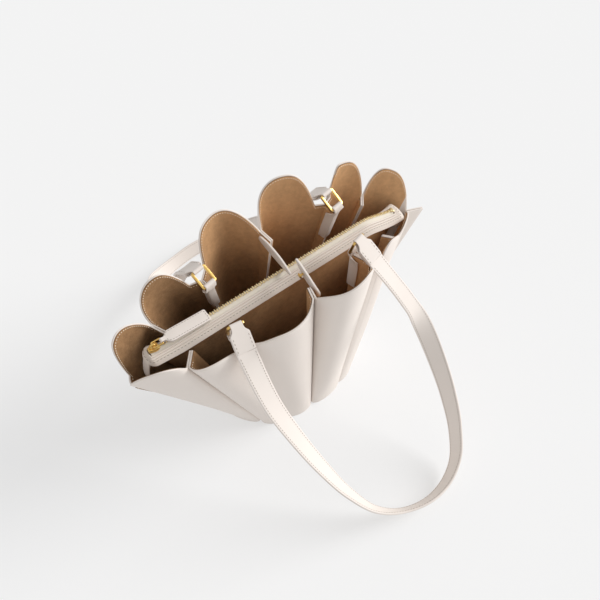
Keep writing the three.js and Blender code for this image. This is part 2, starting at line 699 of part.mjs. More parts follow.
// Binding on a pleat's inner edge: a channel round the pleat that opens out flat and turns over the ring's bar
function ringTabGeometry(pleat) {
  const { thick, eye, clear, tail } = RING_TAB;
  const way = pleatWay(pleat);
  const sideways = turned(way, -90);
  const top = pleatTop(pleat);
  const foot = new THREE.Vector3(pleat.footX, pleat.footY, PETAL_FOOT).addScaledVector(way, -FOOT_PLEAT);
  const down = new THREE.Vector3().subVectors(foot, top).normalize();
  const half = GAP + LEATHER + LINING_GAP + SUEDE + clear;
  const bar = top.clone().addScaledVector(UP, RING.lift);
  const below = (distance) => top.clone().addScaledVector(down, distance).addScaledVector(way, -clear);
  const round = (degrees) => bar.clone()
    .addScaledVector(way, -eye * Math.cos(degToRad(degrees)))
    .addScaledVector(UP, eye * Math.sin(degToRad(degrees)));
  const wide = Math.min(12, pleat.depth - 5);
  const rows = [
    { at: below(43), flap: wide * 0.8, fold: 90 },
    { at: below(24), flap: wide * 0.9, fold: 90 },
    { at: below(4), flap: wide * 0.9, fold: 84 },
    { at: below(-1).addScaledVector(way, -0.6), flap: 5.5, fold: 45 },
    { at: below(-5.5).addScaledVector(way, -1.9), flap: 3.2, fold: 4 },
    { at: round(0), flap: 2.9, fold: 0 },
    { at: round(45), flap: 2.9, fold: 0 },
    { at: round(90), flap: 2.9, fold: 0 },
    { at: round(135), flap: 2.9, fold: 0 },
    { at: round(180), flap: 2.9, fold: 0 },
    { at: round(180).addScaledVector(UP, -tail), flap: 2.9, fold: 0 },
  ];
  const grid = rows.map(({ at, flap, fold }) => {
    const reach = flap * Math.cos(degToRad(fold));
    const wrap = flap * Math.sin(degToRad(fold));
    return [-1, -1, 0, 1, 1].map((side, i) => {
      const p = at.clone().addScaledVector(sideways, side * half);
      return i === 0 || i === 4 ? p.addScaledVector(sideways, side * reach).addScaledVector(way, wrap) : p;
    });
  });
  return wall(grid, offsetGrid(grid, thick));
}

// Rings with the strap ends that hold them, and where each strap begins
const strapStarts = {};
for (const [name, row] of Object.entries(RINGS)) {
  const pleat = PLEATS[row.pleat];
  const frame = pleatFrame(pleat);
  addPiece(`ring_tab_${name}`, ringTabGeometry(pleat), 'leather');
  const tilted = new THREE.Group();
  tilted.position.z = RING.lift;
  tilted.rotation.x = degToRad(row.tilt);
  frame.add(tilted);
  addPiece(`ring_${name}`, ringGeometry(), 'gold', tilted);
  const leaving = new THREE.Group();
  leaving.position.y = RING.length - RING.bar;
  leaving.rotation.x = degToRad(-row.dip - row.tilt);
  tilted.add(leaving);
  addPiece(`strap_end_${name}`, strapEndGeometry(), 'leather', leaving);
  leaving.updateWorldMatrix(true, false);
  const place = (y) => new THREE.Vector3(0, y, 0).applyMatrix4(leaving.matrixWorld);
  strapStarts[name] = { near: place(STRAP.start), far: place(STRAP_END.length + 3) };
}

// Straps: a band that leaves one ring, falls to the floor, turns on its edge and climbs to the other ring
function strapGeometry({ from, to, rows }) {
  const start = strapStarts[from];
  const end = strapStarts[to];
  const middle = rows.map(({ x, y, z }) => new THREE.Vector3(x, y, z));
  const route = [start.near, start.far, ...middle, end.far, end.near];
  const rolls = [0, 0, ...rows.map((row) => row.roll), 0, 0];
  const curve = new THREE.CatmullRomCurve3(route, false, 'centripetal');
  const spans = route.length - 1;
  const frames = [];
  const addFrame = (centre, along, roll) => {
    const level = new THREE.Vector3().crossVectors(UP, along).normalize();
    const lifted = new THREE.Vector3().crossVectors(along, level);
    const across = level.multiplyScalar(Math.cos(roll)).addScaledVector(lifted, Math.sin(roll));
    const out = new THREE.Vector3().crossVectors(along, across);
    frames.push({ centre, across, out, width: STRAP.width, thick: STRAP.thick });
  };
  const leaving = new THREE.Vector3().subVectors(start.far, start.near).normalize();
  const arriving = new THREE.Vector3().subVectors(end.near, end.far).normalize();
  addFrame(start.near, leaving, 0);
  addFrame(start.far, leaving, 0);
  for (let i = STRAP.stepsEach + 1; i < STRAP.stepsEach * (spans - 1); i += 1) {
    const place = i / STRAP.stepsEach;
    const index = Math.floor(place);
    const roll = degToRad(lerp(rolls[index], rolls[index + 1], place - index));
    addFrame(curve.getPoint(place / spans), curve.getTangent(place / spans), roll);
  }
  addFrame(end.far, arriving, 0);
  addFrame(end.near, arriving, 0);
  return band(frames);
}
for (const [name, row] of Object.entries(STRAP_ROUTES)) {
  addPiece(`strap_${name}`, strapGeometry(row), 'leather');
}

// Snap tabs beside the middle pleats, and the stud on the front one
for (const [name, tab] of Object.entries(SNAP_TABS)) {
  const leaf = extruded(shapeOf(tab.outline, 'y', 'z'), SNAP_THICK);
  leaf.applyMatrix4(new THREE.Matrix4().makeBasis(new THREE.Vector3(0, 1, 0), UP, new THREE.Vector3(1, 0, 0)));
  addPiece(`snap_tab_${name}`, leaf, 'leather').position.x = tab.x;
}
const studProfile = [
  new THREE.Vector2(0, 0),
  new THREE.Vector2(STUD.stem, 0),
  new THREE.Vector2(STUD.stem, STUD.stemLength),
  new THREE.Vector2(STUD.head, STUD.stemLength + 0.3),
  new THREE.Vector2(STUD.head * 0.8, STUD.stemLength + STUD.headLength),
  new THREE.Vector2(0, STUD.stemLength + STUD.headLength),
];
const stud = addPiece('snap_stud', new THREE.LatheGeometry(studProfile, STUD.sides), 'gold');
stud.rotation.z = Math.PI / 2;
stud.position.set(SNAP_TABS.front.x - GAP, STUD.y, STUD.z);

export default bag;
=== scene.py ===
import math

import bpy
import numpy as np
from mathutils import Matrix, Vector


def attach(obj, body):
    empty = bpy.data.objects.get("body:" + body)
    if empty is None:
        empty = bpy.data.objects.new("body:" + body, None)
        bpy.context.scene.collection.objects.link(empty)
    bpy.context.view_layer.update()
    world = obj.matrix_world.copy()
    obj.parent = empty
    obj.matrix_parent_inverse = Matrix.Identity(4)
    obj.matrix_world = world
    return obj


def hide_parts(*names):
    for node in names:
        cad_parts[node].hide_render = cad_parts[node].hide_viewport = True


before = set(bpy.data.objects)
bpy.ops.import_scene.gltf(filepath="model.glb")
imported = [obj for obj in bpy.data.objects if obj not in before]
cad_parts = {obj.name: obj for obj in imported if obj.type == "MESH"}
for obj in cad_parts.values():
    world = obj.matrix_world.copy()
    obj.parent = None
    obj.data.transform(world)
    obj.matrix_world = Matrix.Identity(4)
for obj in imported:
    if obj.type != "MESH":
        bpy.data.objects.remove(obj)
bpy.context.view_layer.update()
mm = 0.001
print("frame loaded")


# Small tools shared by all the pieces

weldReach = 0.02  # vertices closer than this become one, in millimetres


def deselectAll():
    if bpy.context.object and bpy.context.object.mode != "OBJECT":
        bpy.ops.object.mode_set(mode="OBJECT")
    bpy.ops.object.select_all(action="DESELECT")


def selectOnly(piece):
    deselectAll()
    piece.select_set(True)
    bpy.context.view_layer.objects.active = piece


def startPiece(name, addPrimitive, **settings):
    deselectAll()
    addPrimitive(**settings)
    piece = bpy.context.object
    piece.name = name
    return piece


def applyModifier(piece, kind, **settings):
    selectOnly(piece)
    modifier = piece.modifiers.new(kind.title(), kind)
    for key, value in settings.items():
        setattr(modifier, key, value)
    bpy.ops.object.modifier_apply(modifier=modifier.name)


def thicken(piece, thick, offset=-1):
    applyModifier(piece, "SOLIDIFY", thickness=thick * mm, offset=offset)


def roundEdges(piece, width, segments=2, angle=50):
    applyModifier(piece, "BEVEL", width=width * mm, segments=segments, limit_method="ANGLE",
                  angle_limit=math.radians(angle), harden_normals=False)


def inEditMode(piece, *steps):
    selectOnly(piece)
    bpy.ops.object.mode_set(mode="EDIT")
    bpy.ops.mesh.select_all(action="SELECT")
    for step in steps:
        step()
    bpy.ops.object.mode_set(mode="OBJECT")


def facesOut():
    bpy.ops.mesh.select_all(action="SELECT")
    bpy.ops.mesh.normals_make_consistent(inside=False)


def raiseFaces(height):
    bpy.ops.mesh.extrude_region_move(TRANSFORM_OT_translate={"value": (0, 0, height * mm)})
    facesOut()


def shift(x, y, z):
    return Matrix.Translation(Vector((x, y, z)) * mm)


def spin(degrees, axis):
    return Matrix.Rotation(math.radians(degrees), 4, axis)


def placed(matrix, points):
    # points in millimetres, after a matrix that is in metres
    return np.array([matrix @ (Vector(point) * mm) for point in points]) / mm


def unit(vectors):
    return vectors / np.maximum(np.linalg.norm(vectors, axis=-1, keepdims=True), 1e-9)


def gridPiece(name, points, flip=False, closed=False):
    # a grid primitive whose vertices take the places in points, in rows of columns, in millimetres
    rows, columns = points.shape[:2]
    piece = startPiece(name, bpy.ops.mesh.primitive_grid_add, x_subdivisions=columns - 1,
                       y_subdivisions=rows - 1, size=2)
    for vertex in piece.data.vertices:
        column = round((vertex.co.x + 1) / 2 * (columns - 1))
        row = round((vertex.co.y + 1) / 2 * (rows - 1))
        vertex.co = points[row][column] * mm
    steps = []
    if closed:
        steps.append(lambda: bpy.ops.mesh.remove_doubles(threshold=weldReach * mm))
    if flip:
        steps.append(bpy.ops.mesh.flip_normals)
    inEditMode(piece, *steps)
    return piece


def sheetPiece(name, points, size, offset=-1, segments=2, **made):
    # a grid, thickened, with its edges rounded
    piece = gridPiece(name, points, **made)
    thicken(piece, size["thick"], offset)
    roundEdges(piece, size["edge"], segments)
    return piece


def platePiece(name, outline, thick):
    # a flat panel: a filled circle whose vertices take the outline, extruded to its thickness
    piece = startPiece(name, bpy.ops.mesh.primitive_circle_add, vertices=len(outline), radius=1,
                       fill_type="NGON")
    for vertex, (x, y) in zip(piece.data.vertices, outline):
        vertex.co = (x * mm, y * mm, 0)
    inEditMode(piece, lambda: raiseFaces(thick))
    return piece


def finishPiece(piece, material, nodes=(), body="bag", angle=45):
    selectOnly(piece)
    bpy.ops.object.shade_smooth_by_angle(angle=math.radians(angle))
    piece.data.materials.clear()
    piece.data.materials.append(material)
    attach(piece, body)
    if nodes:
        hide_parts(*nodes)


def joinPieces(name, pieces):
    deselectAll()
    for piece in pieces:
        piece.select_set(True)
    bpy.context.view_layer.objects.active = pieces[0]
    bpy.ops.object.join()
    pieces[0].name = name
    return pieces[0]


def gridNormals(points):
    along = np.gradient(points, axis=1)
    across = np.gradient(points, axis=0)
    return unit(np.cross(along, across))


def reachAlong(line):
    # how far each point of a polyline lies from its start
    steps = np.linalg.norm(np.diff(line, axis=0), axis=1)
    return np.concatenate([[0], np.cumsum(steps)])


def pick(values, reach, wanted):
    return np.stack([np.interp(wanted, reach, values[:, axis]) for axis in range(3)], axis=1)


def evenly(line, count):
    # a polyline taken again at even steps along its length
    reach = reachAlong(line)
    return pick(line, reach, np.linspace(0, reach[-1], count)), reach[-1]


def smoothLine(knots, stepsEach):
    # a smooth curve through its knots, with softer turns where they are close together
    knots = np.array(knots, float)
    gaps = np.sqrt(np.linalg.norm(np.diff(knots, axis=0), axis=1))
    times = np.concatenate([[0], np.cumsum(gaps)])
    slopes = np.gradient(knots, times, axis=0)
    line = []
    for i in range(len(knots) - 1):
        span = times[i + 1] - times[i]
        for t in np.linspace(0, 1, stepsEach, endpoint=False):
            fromHere = (2 * t**3 - 3 * t**2 + 1) * knots[i] + (t**3 - 2 * t**2 + t) * span * slopes[i]
            toNext = (3 * t**2 - 2 * t**3) * knots[i + 1] + (t**3 - t**2) * span * slopes[i + 1]
            line.append(fromHere + toNext)
    line.append(knots[-1])
    return np.array(line)


def smoothstep(value, low, high):
    t = np.clip((value - low) / (high - low), 0, 1)
    return t * t * (3 - 2 * t)


# Shader maths: a wrapped socket that adds nodes as it is used

class Shade:
    def __init__(self, tree, socket):
        self.tree = tree
        self.socket = socket

    def node(self, kind, settings=None, output=0, **inputs):
        made = self.tree.nodes.new(kind)
        for key, value in (settings or {}).items():
            setattr(made, key, value)
        for key, value in inputs.items():
            numbered = key[0] == "i" and key[1:].isdigit()  # i0 is the first socket, i1 the next
            socket = made.inputs[int(key[1:]) if numbered else key]
            if isinstance(value, Shade):
                self.tree.links.new(value.socket, socket)
            else:
                socket.default_value = value
        return Shade(self.tree, made.outputs[output])

    def maths(self, operation, first, second):
        return self.node("ShaderNodeMath", {"operation": operation}, i0=first, i1=second)

    def __add__(self, other):
        return self.maths("ADD", self, other)

    def __radd__(self, other):
        return self.maths("ADD", other, self)

    def __mul__(self, other):
        return self.maths("MULTIPLY", self, other)

    def __rmul__(self, other):
        return self.maths("MULTIPLY", other, self)

    def noise(self, scale, detail=3, roughness=0.5):
        return self.node("ShaderNodeTexNoise", Vector=self, Scale=scale, Detail=detail, Roughness=roughness)

    def ribs(self, way, scale, unevenness):
        return self.node("ShaderNodeTexWave", {"bands_direction": way}, output=1, Vector=self, Scale=scale,
                         Distortion=unevenness)

    def stretched(self, x, y, z):
        return self.node("ShaderNodeMapping", Vector=self, Scale=(x, y, z))

    def span(self, low, high):
        return self.node("ShaderNodeMapRange", {"clamp": True}, Value=self, i3=low, i4=high)

    def mixed(self, first, second):
        return self.node("ShaderNodeMix", {"data_type": "RGBA"}, output=2, i0=self, i6=colour(*first),
                         i7=colour(*second))

    def bump(self, strength, depth):
        return self.node("ShaderNodeBump", Strength=strength, Distance=depth * mm, Height=self)

    def feeds(self, surface, name):
        self.tree.links.new(self.socket, surface.inputs[name])


def colour(red, green, blue):
    # an sRGB colour, 0 to 255, as linear values
    linear = [((value / 255 + 0.055) / 1.055) ** 2.4 for value in (red, green, blue)]
    return (*linear, 1.0)


def newMaterial(name):
    material = bpy.data.materials.new(name)
    material.use_nodes = True
    tree = material.node_tree
    place = Shade(tree, None).node("ShaderNodeTexCoord", output="Object")
    return material, tree.nodes["Principled BSDF"], place


# Leather, suede, gold, zip tape and thread: colours from 0 to 255, depths of relief in millimetres

leatherGrain = dict(mottle=18, pores=900, creases=60, creaseStretch=0.35, relief=0.22, depth=0.6,
                    specular=0.3)
leatherLook = dict(light=(233, 225, 218), shade=(225, 215, 207), roughness=(0.52, 0.66))
bandLook = dict(light=(226, 216, 206), shade=(218, 207, 196), roughness=(0.46, 0.6))


def makeLeather(name, look):
    material, surface, place = newMaterial(name)
    mottle = place.noise(leatherGrain["mottle"], 4, 0.6)
    pores = place.noise(leatherGrain["pores"], 2, 0.6)
    creases = place.stretched(1, 1, leatherGrain["creaseStretch"]).noise(leatherGrain["creases"], 3, 0.55)
    mottle.span(0.15, 0.85).mixed(look["shade"], look["light"]).feeds(surface, "Base Color")
    mottle.span(*look["roughness"]).feeds(surface, "Roughness")
    height = pores * 0.35 + creases * 0.65
    height.bump(leatherGrain["relief"], leatherGrain["depth"]).feeds(surface, "Normal")
    surface.inputs["Specular IOR Level"].default_value = leatherGrain["specular"]
    return material


suedeLook = dict(light=(234, 185, 136), dark=(60, 37, 18), patch=34, patchStretch=0.6, nap=170, fine=900,
                 grainSpan=(-1.1, 2.1), roughness=(0.86, 0.98), relief=0.35, depth=0.6, specular=0.1,
                 sheen=0.2, sheenSpread=0.55, sheenTint=(205, 172, 134))


def makeSuede(name, look):
    material, surface, place = newMaterial(name)
    nap = place.noise(look["nap"], 4, 0.65)
    brushed = place.stretched(1, 1, look["patchStretch"]).noise(look["patch"], 3, 0.6)
    fine = place.noise(look["fine"], 3, 0.75)
    grain = (nap * 0.3 + brushed * 0.4 + fine * 0.3).span(*look["grainSpan"])
    # the point attribute carries painted light and shade, mixed with the random grain into the base colour
    paintedLight = place.node("ShaderNodeAttribute", {"attribute_name": "suedeLightAndShade"}, output=2)
    (grain * 0.35 + paintedLight * 0.65).mixed(look["dark"], look["light"]).feeds(surface, "Base Color")
    fine.span(*look["roughness"]).feeds(surface, "Roughness")
    (fine * 0.6 + nap * 0.4).bump(look["relief"], look["depth"]).feeds(surface, "Normal")
    surface.inputs["Specular IOR Level"].default_value = look["specular"]
    surface.inputs["Sheen Weight"].default_value = look["sheen"]
    surface.inputs["Sheen Roughness"].default_value = look["sheenSpread"]
    surface.inputs["Sheen Tint"].default_value = colour(*look["sheenTint"])
    return material


goldLook = dict(bright=(246, 212, 136), deep=(228, 186, 104), roughness=(0.24, 0.36), polish=160)
teethLook = dict(bright=(255, 242, 200), deep=(248, 224, 160), roughness=(0.36, 0.5), polish=160)


def makeGold(name, look):
    material, surface, place = newMaterial(name)
    polish = place.noise(look["polish"])
    polish.mixed(look["deep"], look["bright"]).feeds(surface, "Base Color")
    polish.span(*look["roughness"]).feeds(surface, "Roughness")
    surface.inputs["Metallic"].default_value = 1.0
    return material


tapeLook = dict(light=(240, 234, 222), dark=(224, 215, 200), weave=412.7, unevenness=0.6, soil=90, wear=200,
                roughness=(0.7, 0.9), relief=0.4, depth=0.3)


def makeWeave(name, look):
    material, surface, place = newMaterial(name)
    along = place.ribs("X", look["weave"], look["unevenness"])
    upwards = place.ribs("Z", look["weave"], look["unevenness"])
    cloth = along * 0.5 + upwards * 0.5
    tone = cloth * 0.6 + place.noise(look["soil"]) * 0.4
    tone.mixed(look["dark"], look["light"]).feeds(surface, "Base Color")
    cloth.bump(look["relief"], look["depth"]).feeds(surface, "Normal")
    place.noise(look["wear"]).span(*look["roughness"]).feeds(surface, "Roughness")
    return material


threadTwist = dict(scale=700, roughness=(0.55, 0.75), relief=0.3, depth=0.2)
# stitch thread on the leather, greyed with painted shade of the needle holes it sits in
threadLook = dict(light=(176, 166, 154), dark=(146, 136, 124))
rimThreadLook = dict(light=(252, 242, 224), dark=(240, 224, 200))
# dark thread for the line along each strap end's cut edge: painted shadow of that edge
edgeShadowThreadLook = dict(light=(142, 130, 118), dark=(112, 101, 90))


def makeThread(name, look):
    material, surface, place = newMaterial(name)
    twist = place.noise(threadTwist["scale"], 2)
    twist.mixed(look["dark"], look["light"]).feeds(surface, "Base Color")
    twist.span(*threadTwist["roughness"]).feeds(surface, "Roughness")
    twist.bump(threadTwist["relief"], threadTwist["depth"]).feeds(surface, "Normal")
    return material


leather = makeLeather("creamLeather", leatherLook)
bandLeather = makeLeather("bandLeather", bandLook)
suede = makeSuede("brownSuede", suedeLook)
gold = makeGold("polishedGold", goldLook)
paleGold = makeGold("paleGold", teethLook)
tape = makeWeave("zipTape", tapeLook)
thread = makeThread("greyThread", threadLook)
rimThread = makeThread("tanThread", rimThreadLook)
edgeShadowThread = makeThread("edgeShadowLine", edgeShadowThreadLook)
print("materials ready")


# Painted light and shade on the suede, kept in a point attribute: lighter where it faces the light, towards
# the rims and towards the bag's right, with painted shade where it faces up

suedeLightAndShade = dict(lightWay=(0.84, -0.36, 0.4), facing=(-0.6, 1.0), height=(140, 270), side=(-150, 50),
               upwards=(0.5, 0.9), facingShare=0.05, heightShare=0.32, sideShare=0.63)


def paintSuedeLight(piece):
    places = np.array([vertex.co for vertex in piece.data.vertices]) / mm
    normals = np.array([vertex.normal for vertex in piece.data.vertices])
    facing = smoothstep(normals @ np.array(suedeLightAndShade["lightWay"]), *suedeLightAndShade["facing"])
    height = smoothstep(places[:, 2], *suedeLightAndShade["height"])
    side = smoothstep(places[:, 0], *suedeLightAndShade["side"])
    upwards = smoothstep(normals[:, 2], *suedeLightAndShade["upwards"])
    paintedLight = facing * suedeLightAndShade["facingShare"] + height * suedeLightAndShade["heightShare"] + side * suedeLightAndShade["sideShare"]
    attribute = piece.data.attributes.new("suedeLightAndShade", "FLOAT", "POINT")
    attribute.data.foreach_set("value", (paintedLight * (1 - upwards)).astype(np.float32))


# Stitches: one stitch modelled once, then copied along a row

stitchSize = dict(length=2.6, pitch=3.6, radius=0.3)
rimStitch = dict(length=1.5, pitch=3.0, radius=0.5)
# overlapping marks that draw one continuous dark line, the painted shadow along the strap end's edge
edgeShadowStitch = dict(length=1.6, pitch=1.3, radius=0.24)


def oneStitch():
    piece = startPiece("stitch", bpy.ops.mesh.primitive_uv_sphere_add, segments=6, ring_count=5, radius=1)
    places = np.array([vertex.co[:] for vertex in piece.data.vertices])
    faces = [list(face.vertices) for face in piece.data.polygons]
    bpy.data.objects.remove(piece)
    return places, faces


stitchPlaces, stitchFaces = oneStitch()


def stitchRow(line, normals, pitch=stitchSize["pitch"], nearby=0.4):
    # where each stitch lies along a line: its middle, its run and the way it faces
    reach = reachAlong(line)
    count = max(int(reach[-1] / pitch), 1)
    middles = (np.arange(count) + 0.5) * reach[-1] / count
    runs = pick(line, reach, middles + nearby) - pick(line, reach, middles - nearby)
    return list(zip(pick(line, reach, middles), unit(runs), pick(normals, reach, middles)))


def sewn(name, stitches, body="bag", size=stitchSize, yarn=thread):
    oneSize = stitchPlaces * (size["length"] / 2, size["radius"], size["radius"])
    places, faces = [], []
    for middle, run, facing in stitches:
        side = unit(np.cross(facing, run))
        out = np.cross(run, side)
        start = len(places) * len(stitchPlaces)
        turn = np.stack([run, side, out], axis=0)
        places.append(middle + oneSize @ turn)
        faces.extend([[start + i for i in face] for face in stitchFaces])
    mesh = bpy.data.meshes.new(name)
    mesh.from_pydata((np.concatenate(places) * mm).tolist(), [], faces)
    piece = bpy.data.objects.new(name, mesh)
    bpy.context.scene.collection.objects.link(piece)
    finishPiece(piece, yarn, body=body, angle=80)


# Petals: one row for each pleat and each petal, in millimetres and degrees

# hold keeps the rims level beside a ring, and a fin folds outwards
pleats = {
    "endLeft": dict(x=-183, y=1, z=180, depth=14, angle=180, spread=26, footX=-98, footY=0),
    "back1": dict(x=-144, y=17, z=218, depth=17, angle=118, spread=15, footX=-72, footY=44),
    "back2": dict(x=-80, y=27, z=229, depth=14, angle=100, spread=56, footX=-42, footY=58, hold=13),
    "back3": dict(x=6, y=34, z=238, depth=17, angle=100, spread=15, footX=0, footY=64),
    "back4": dict(x=91, y=26, z=233, depth=16, angle=100, spread=56, footX=45, footY=56, hold=13),
    "back5": dict(x=133, y=27, z=214, depth=13, angle=52, spread=15, footX=72, footY=45),
    "endRight": dict(x=188, y=4, z=184, depth=22, angle=-17, spread=100, footX=98, footY=0, fin=True),
    "front5": dict(x=127, y=-16, z=206, depth=15, angle=300, spread=15, footX=72, footY=-44),
    "front4": dict(x=69, y=-30, z=233, depth=24, angle=286, spread=56, footX=41, footY=-61, hold=13),
    "front3": dict(x=-1, y=-41, z=242, depth=17, angle=254, spread=15, footX=-5, footY=-61),
    "front2": dict(x=-89, y=-32, z=222, depth=15, angle=261, spread=56, footX=-41, footY=-60, hold=10),
    "front1": dict(x=-134, y=-17, z=218, depth=21, angle=230, spread=15, footX=-72, footY=-42),
}

# roundness shapes the scallop, holdLeft keeps its left end low, and ease softens where it starts to rise
petals = {
    "back_1": dict(left="endLeft", right="back1", bulge=11, rise=44, lean=-14, roundness=2.2, holdLeft=14),
    "back_2": dict(left="back1", right="back2", bulge=17, rise=45, lean=-9, roundness=2.3),
    "back_3": dict(left="back2", right="back3", bulge=34, rise=44, lean=-11, roundness=3),
    "back_4": dict(left="back3", right="back4", bulge=28, rise=54, lean=3, roundness=2.4),
    "back_5": dict(left="back4", right="back5", bulge=15, rise=49, lean=-1, roundness=3.8),
    "back_6": dict(left="back5", right="endRight", bulge=10, rise=45, lean=6, roundness=2.8),
    "front_1": dict(left="endLeft", right="front1", bulge=20, rise=35, lean=3, roundness=2.3),
    "front_2": dict(left="front1", right="front2", bulge=18, rise=8, lean=6, roundness=2),
    "front_3": dict(left="front2", right="front3", bulge=30, rise=13, lean=-8, roundness=2.6, holdLeft=24,
                    ease=9),
    "front_4": dict(left="front3", right="front4", bulge=37, rise=40, lean=6, roundness=1.9),
    "front_5": dict(left="front4", right="front5", bulge=15, rise=28, lean=-6, roundness=2),
    "front_6": dict(left="front5", right="endRight", bulge=10, rise=12, lean=-2, roundness=2),
}

petalMake = dict(gap=0.3, foot=2.5, pleatRise=3, footPleat=3, footBulge=8, thick=1.6, edge=0.4,
                 legColumns=5, capColumns=64, rows=40, curveSteps=400, belly=1.5, ripple=0.5,
                 rippleTurns=(9, 3))
liningMake = dict(thick=0.9, edge=0.25, seat=0.08, drop=1.0, finColumns=6, stitchDrop=3.2,
                  stitchLift=0.2, stitchLegs=2)


def heading(degrees):
    return np.array([math.cos(math.radians(degrees)), math.sin(math.radians(degrees)), 0.0])


def petalLine(row, corners, depths, bulge):
    ends = [pleats[row["left"]], pleats[row["right"]]]
    ways = [heading(end["angle"]) for end in ends]
    chord = corners[1] - corners[0]
    side = np.sign(ways[0][0] * chord[1] - ways[0][1] * chord[0])
    sideways = [heading(ends[0]["angle"] + 90 * side), heading(ends[1]["angle"] - 90 * side)]
    fins = [end.get("fin", False) for end in ends]
    apart = [petalMake["gap"] + petalMake["thick"] * fin for fin in fins]
    near = [corner + out * gap for corner, out, gap in zip(corners, sideways, apart)]
    far = [point + way * depth for point, way, depth in zip(near, ways, depths)]
    inner = [b if fin else a for a, b, fin in zip(near, far, fins)]
    valley = [a if fin else b for a, b, fin in zip(near, far, fins)]
    spread = [ends[0]["angle"] + ends[0]["spread"] * side, ends[1]["angle"] - ends[1]["spread"] * side]
    # at its middle the curve reaches three quarters of the way to its handles
    handles = [point + heading(angle) * bulge / 0.75 for point, angle in zip(valley, spread)]
    t = np.linspace(0, 1, petalMake["curveSteps"])[:, None]
    curve = ((1 - t)**3 * valley[0] + 3 * (1 - t)**2 * t * handles[0] + 3 * (1 - t) * t**2 * handles[1]
             + t**3 * valley[1])
    cap, length = evenly(curve, petalMake["capColumns"] + 1)
    return inner, cap, side, length


def withLegs(inner, cap):
    steps = np.linspace(0, 1, petalMake["legColumns"], endpoint=False)[:, None]
    leftLeg = inner[0] + (cap[0] - inner[0]) * steps
    rightLeg = inner[1] + (cap[-1] - inner[1]) * steps
    return np.concatenate([leftLeg, cap, rightLeg[::-1]])


def pleatTop(pleat):
    return np.array([pleat["x"], pleat["y"], pleat["z"]], float)


def pleatFoot(pleat):
    foot = np.array([pleat["footX"], pleat["footY"], petalMake["foot"]])
    return foot - heading(pleat["angle"]) * petalMake["footPleat"]


def petalGrid(row):
    ends = [pleats[row["left"]], pleats[row["right"]]]
    feet = [pleatFoot(end) for end in ends]
    inner, cap, side, _ = petalLine(row, feet, [petalMake["footPleat"]] * 2, petalMake["footBulge"])
    foot = withLegs(inner, cap)
    tops = [pleatTop(end) for end in ends]
    inner, cap, side, length = petalLine(row, tops, [end["depth"] for end in ends], row["bulge"])
    share = np.linspace(0, 1, len(cap))
    holds = [row.get("holdLeft", ends[0].get("hold", 0)), ends[1].get("hold", 0)]
    hold = np.where(share < 0.5, holds[0], holds[1])
    ease = row.get("ease", 0)
    most = length / 2 - hold
    past = (1 - np.abs(2 * share - 1)) * length / 2 - hold
    climb = (past + np.hypot(past, ease)) / (most + np.hypot(most, ease))
    lift = 1 - (1 - climb)**row["roundness"]
    level = ends[0]["z"] + (ends[1]["z"] - ends[0]["z"]) * share + petalMake["pleatRise"]
    cap[:, 2] = level + row["rise"] * lift
    cap[:, 0] += row["lean"] * lift
    rim = withLegs(inner, cap)
    up = np.linspace(0, 1, petalMake["rows"] + 1)[:, None, None]
    points = foot[None] + (rim - foot)[None] * up
    # the leather swells a little at mid height, and each petal ripples softly in its own place
    legs = petalMake["legColumns"]
    across = np.clip((np.arange(len(rim)) - legs) / petalMake["capColumns"], 0, 1)[None, :, None]
    phase = row["bulge"] * 0.7 + row["rise"]
    turnsAcross, turnsUp = petalMake["rippleTurns"]
    ripple = petalMake["ripple"] * np.sin(turnsAcross * across + turnsUp * up + phase)
    swell = np.sin(np.pi * up) * np.sin(np.pi * across) * (petalMake["belly"] + ripple)
    points = points + gridNormals(points) * side * swell
    points[0, :, 2] = petalMake["foot"]
    return points, side


rimStitches = []
for petalName, petalRow in petals.items():
    points, side = petalGrid(petalRow)
    inwards = gridNormals(points) * -side
    outer = sheetPiece("petal_" + petalName + "_leather", points, petalMake, flip=side < 0)
    finishPiece(outer, leather, ["petal_" + petalName])

    heights = points[-1, :, 2][:, None]
    lowered = points.copy()
    lowered[1:] = points[0] + (points[1:] - points[0]) * (1 - liningMake["drop"] / heights)
    skin = lowered + inwards * (petalMake["thick"] + liningMake["seat"])
    skin[0, :, 2] = petalMake["foot"]
    if pleats[petalRow["right"]].get("fin"):
        # the lining stays out of the fin
        skin = skin[:, :-petalMake["legColumns"] - liningMake["finColumns"]]
    inner = sheetPiece("lining_" + petalName + "_suede", skin, liningMake, flip=side < 0)
    paintSuedeLight(inner)
    finishPiece(inner, suede, ["lining_" + petalName])

    first = petalMake["legColumns"] - liningMake["stitchLegs"]
    line = points[0] + (points[-1] - points[0]) * (1 - liningMake["stitchDrop"] / heights)
    line += inwards[-1] * (petalMake["thick"] + liningMake["thick"] + liningMake["stitchLift"])
    rimStitches += stitchRow(line[first:-first], inwards[-1][first:-first], rimStitch["pitch"])
sewn("rim_stitches", rimStitches, size=rimStitch, yarn=rimThread)
print("petals and linings made")


# Base panel under the petals, and the suede over it

basePlate = dict(thick=2.2, edge=0.5, columnStep=4)
baseSuede = dict(halfX=86, halfY=53, thick=1.0, edge=0.3, steps=96)


def footOutline():
    outline = []
    legs = petalMake["legColumns"]
    backs = [name for name in petals if name.startswith("back")]
    fronts = [name for name in petals if name.startswith("front")]
    for name in backs + fronts[::-1]:
        grid, _ = petalGrid(petals[name])
        line = grid[0][legs:-legs:basePlate["columnStep"], :2]
        outline += list(line if name in backs else line[::-1])
    return outline


base = platePiece("base_panel", footOutline(), basePlate["thick"])
roundEdges(base, basePlate["edge"], 3)
finishPiece(base, leather, ["base"])

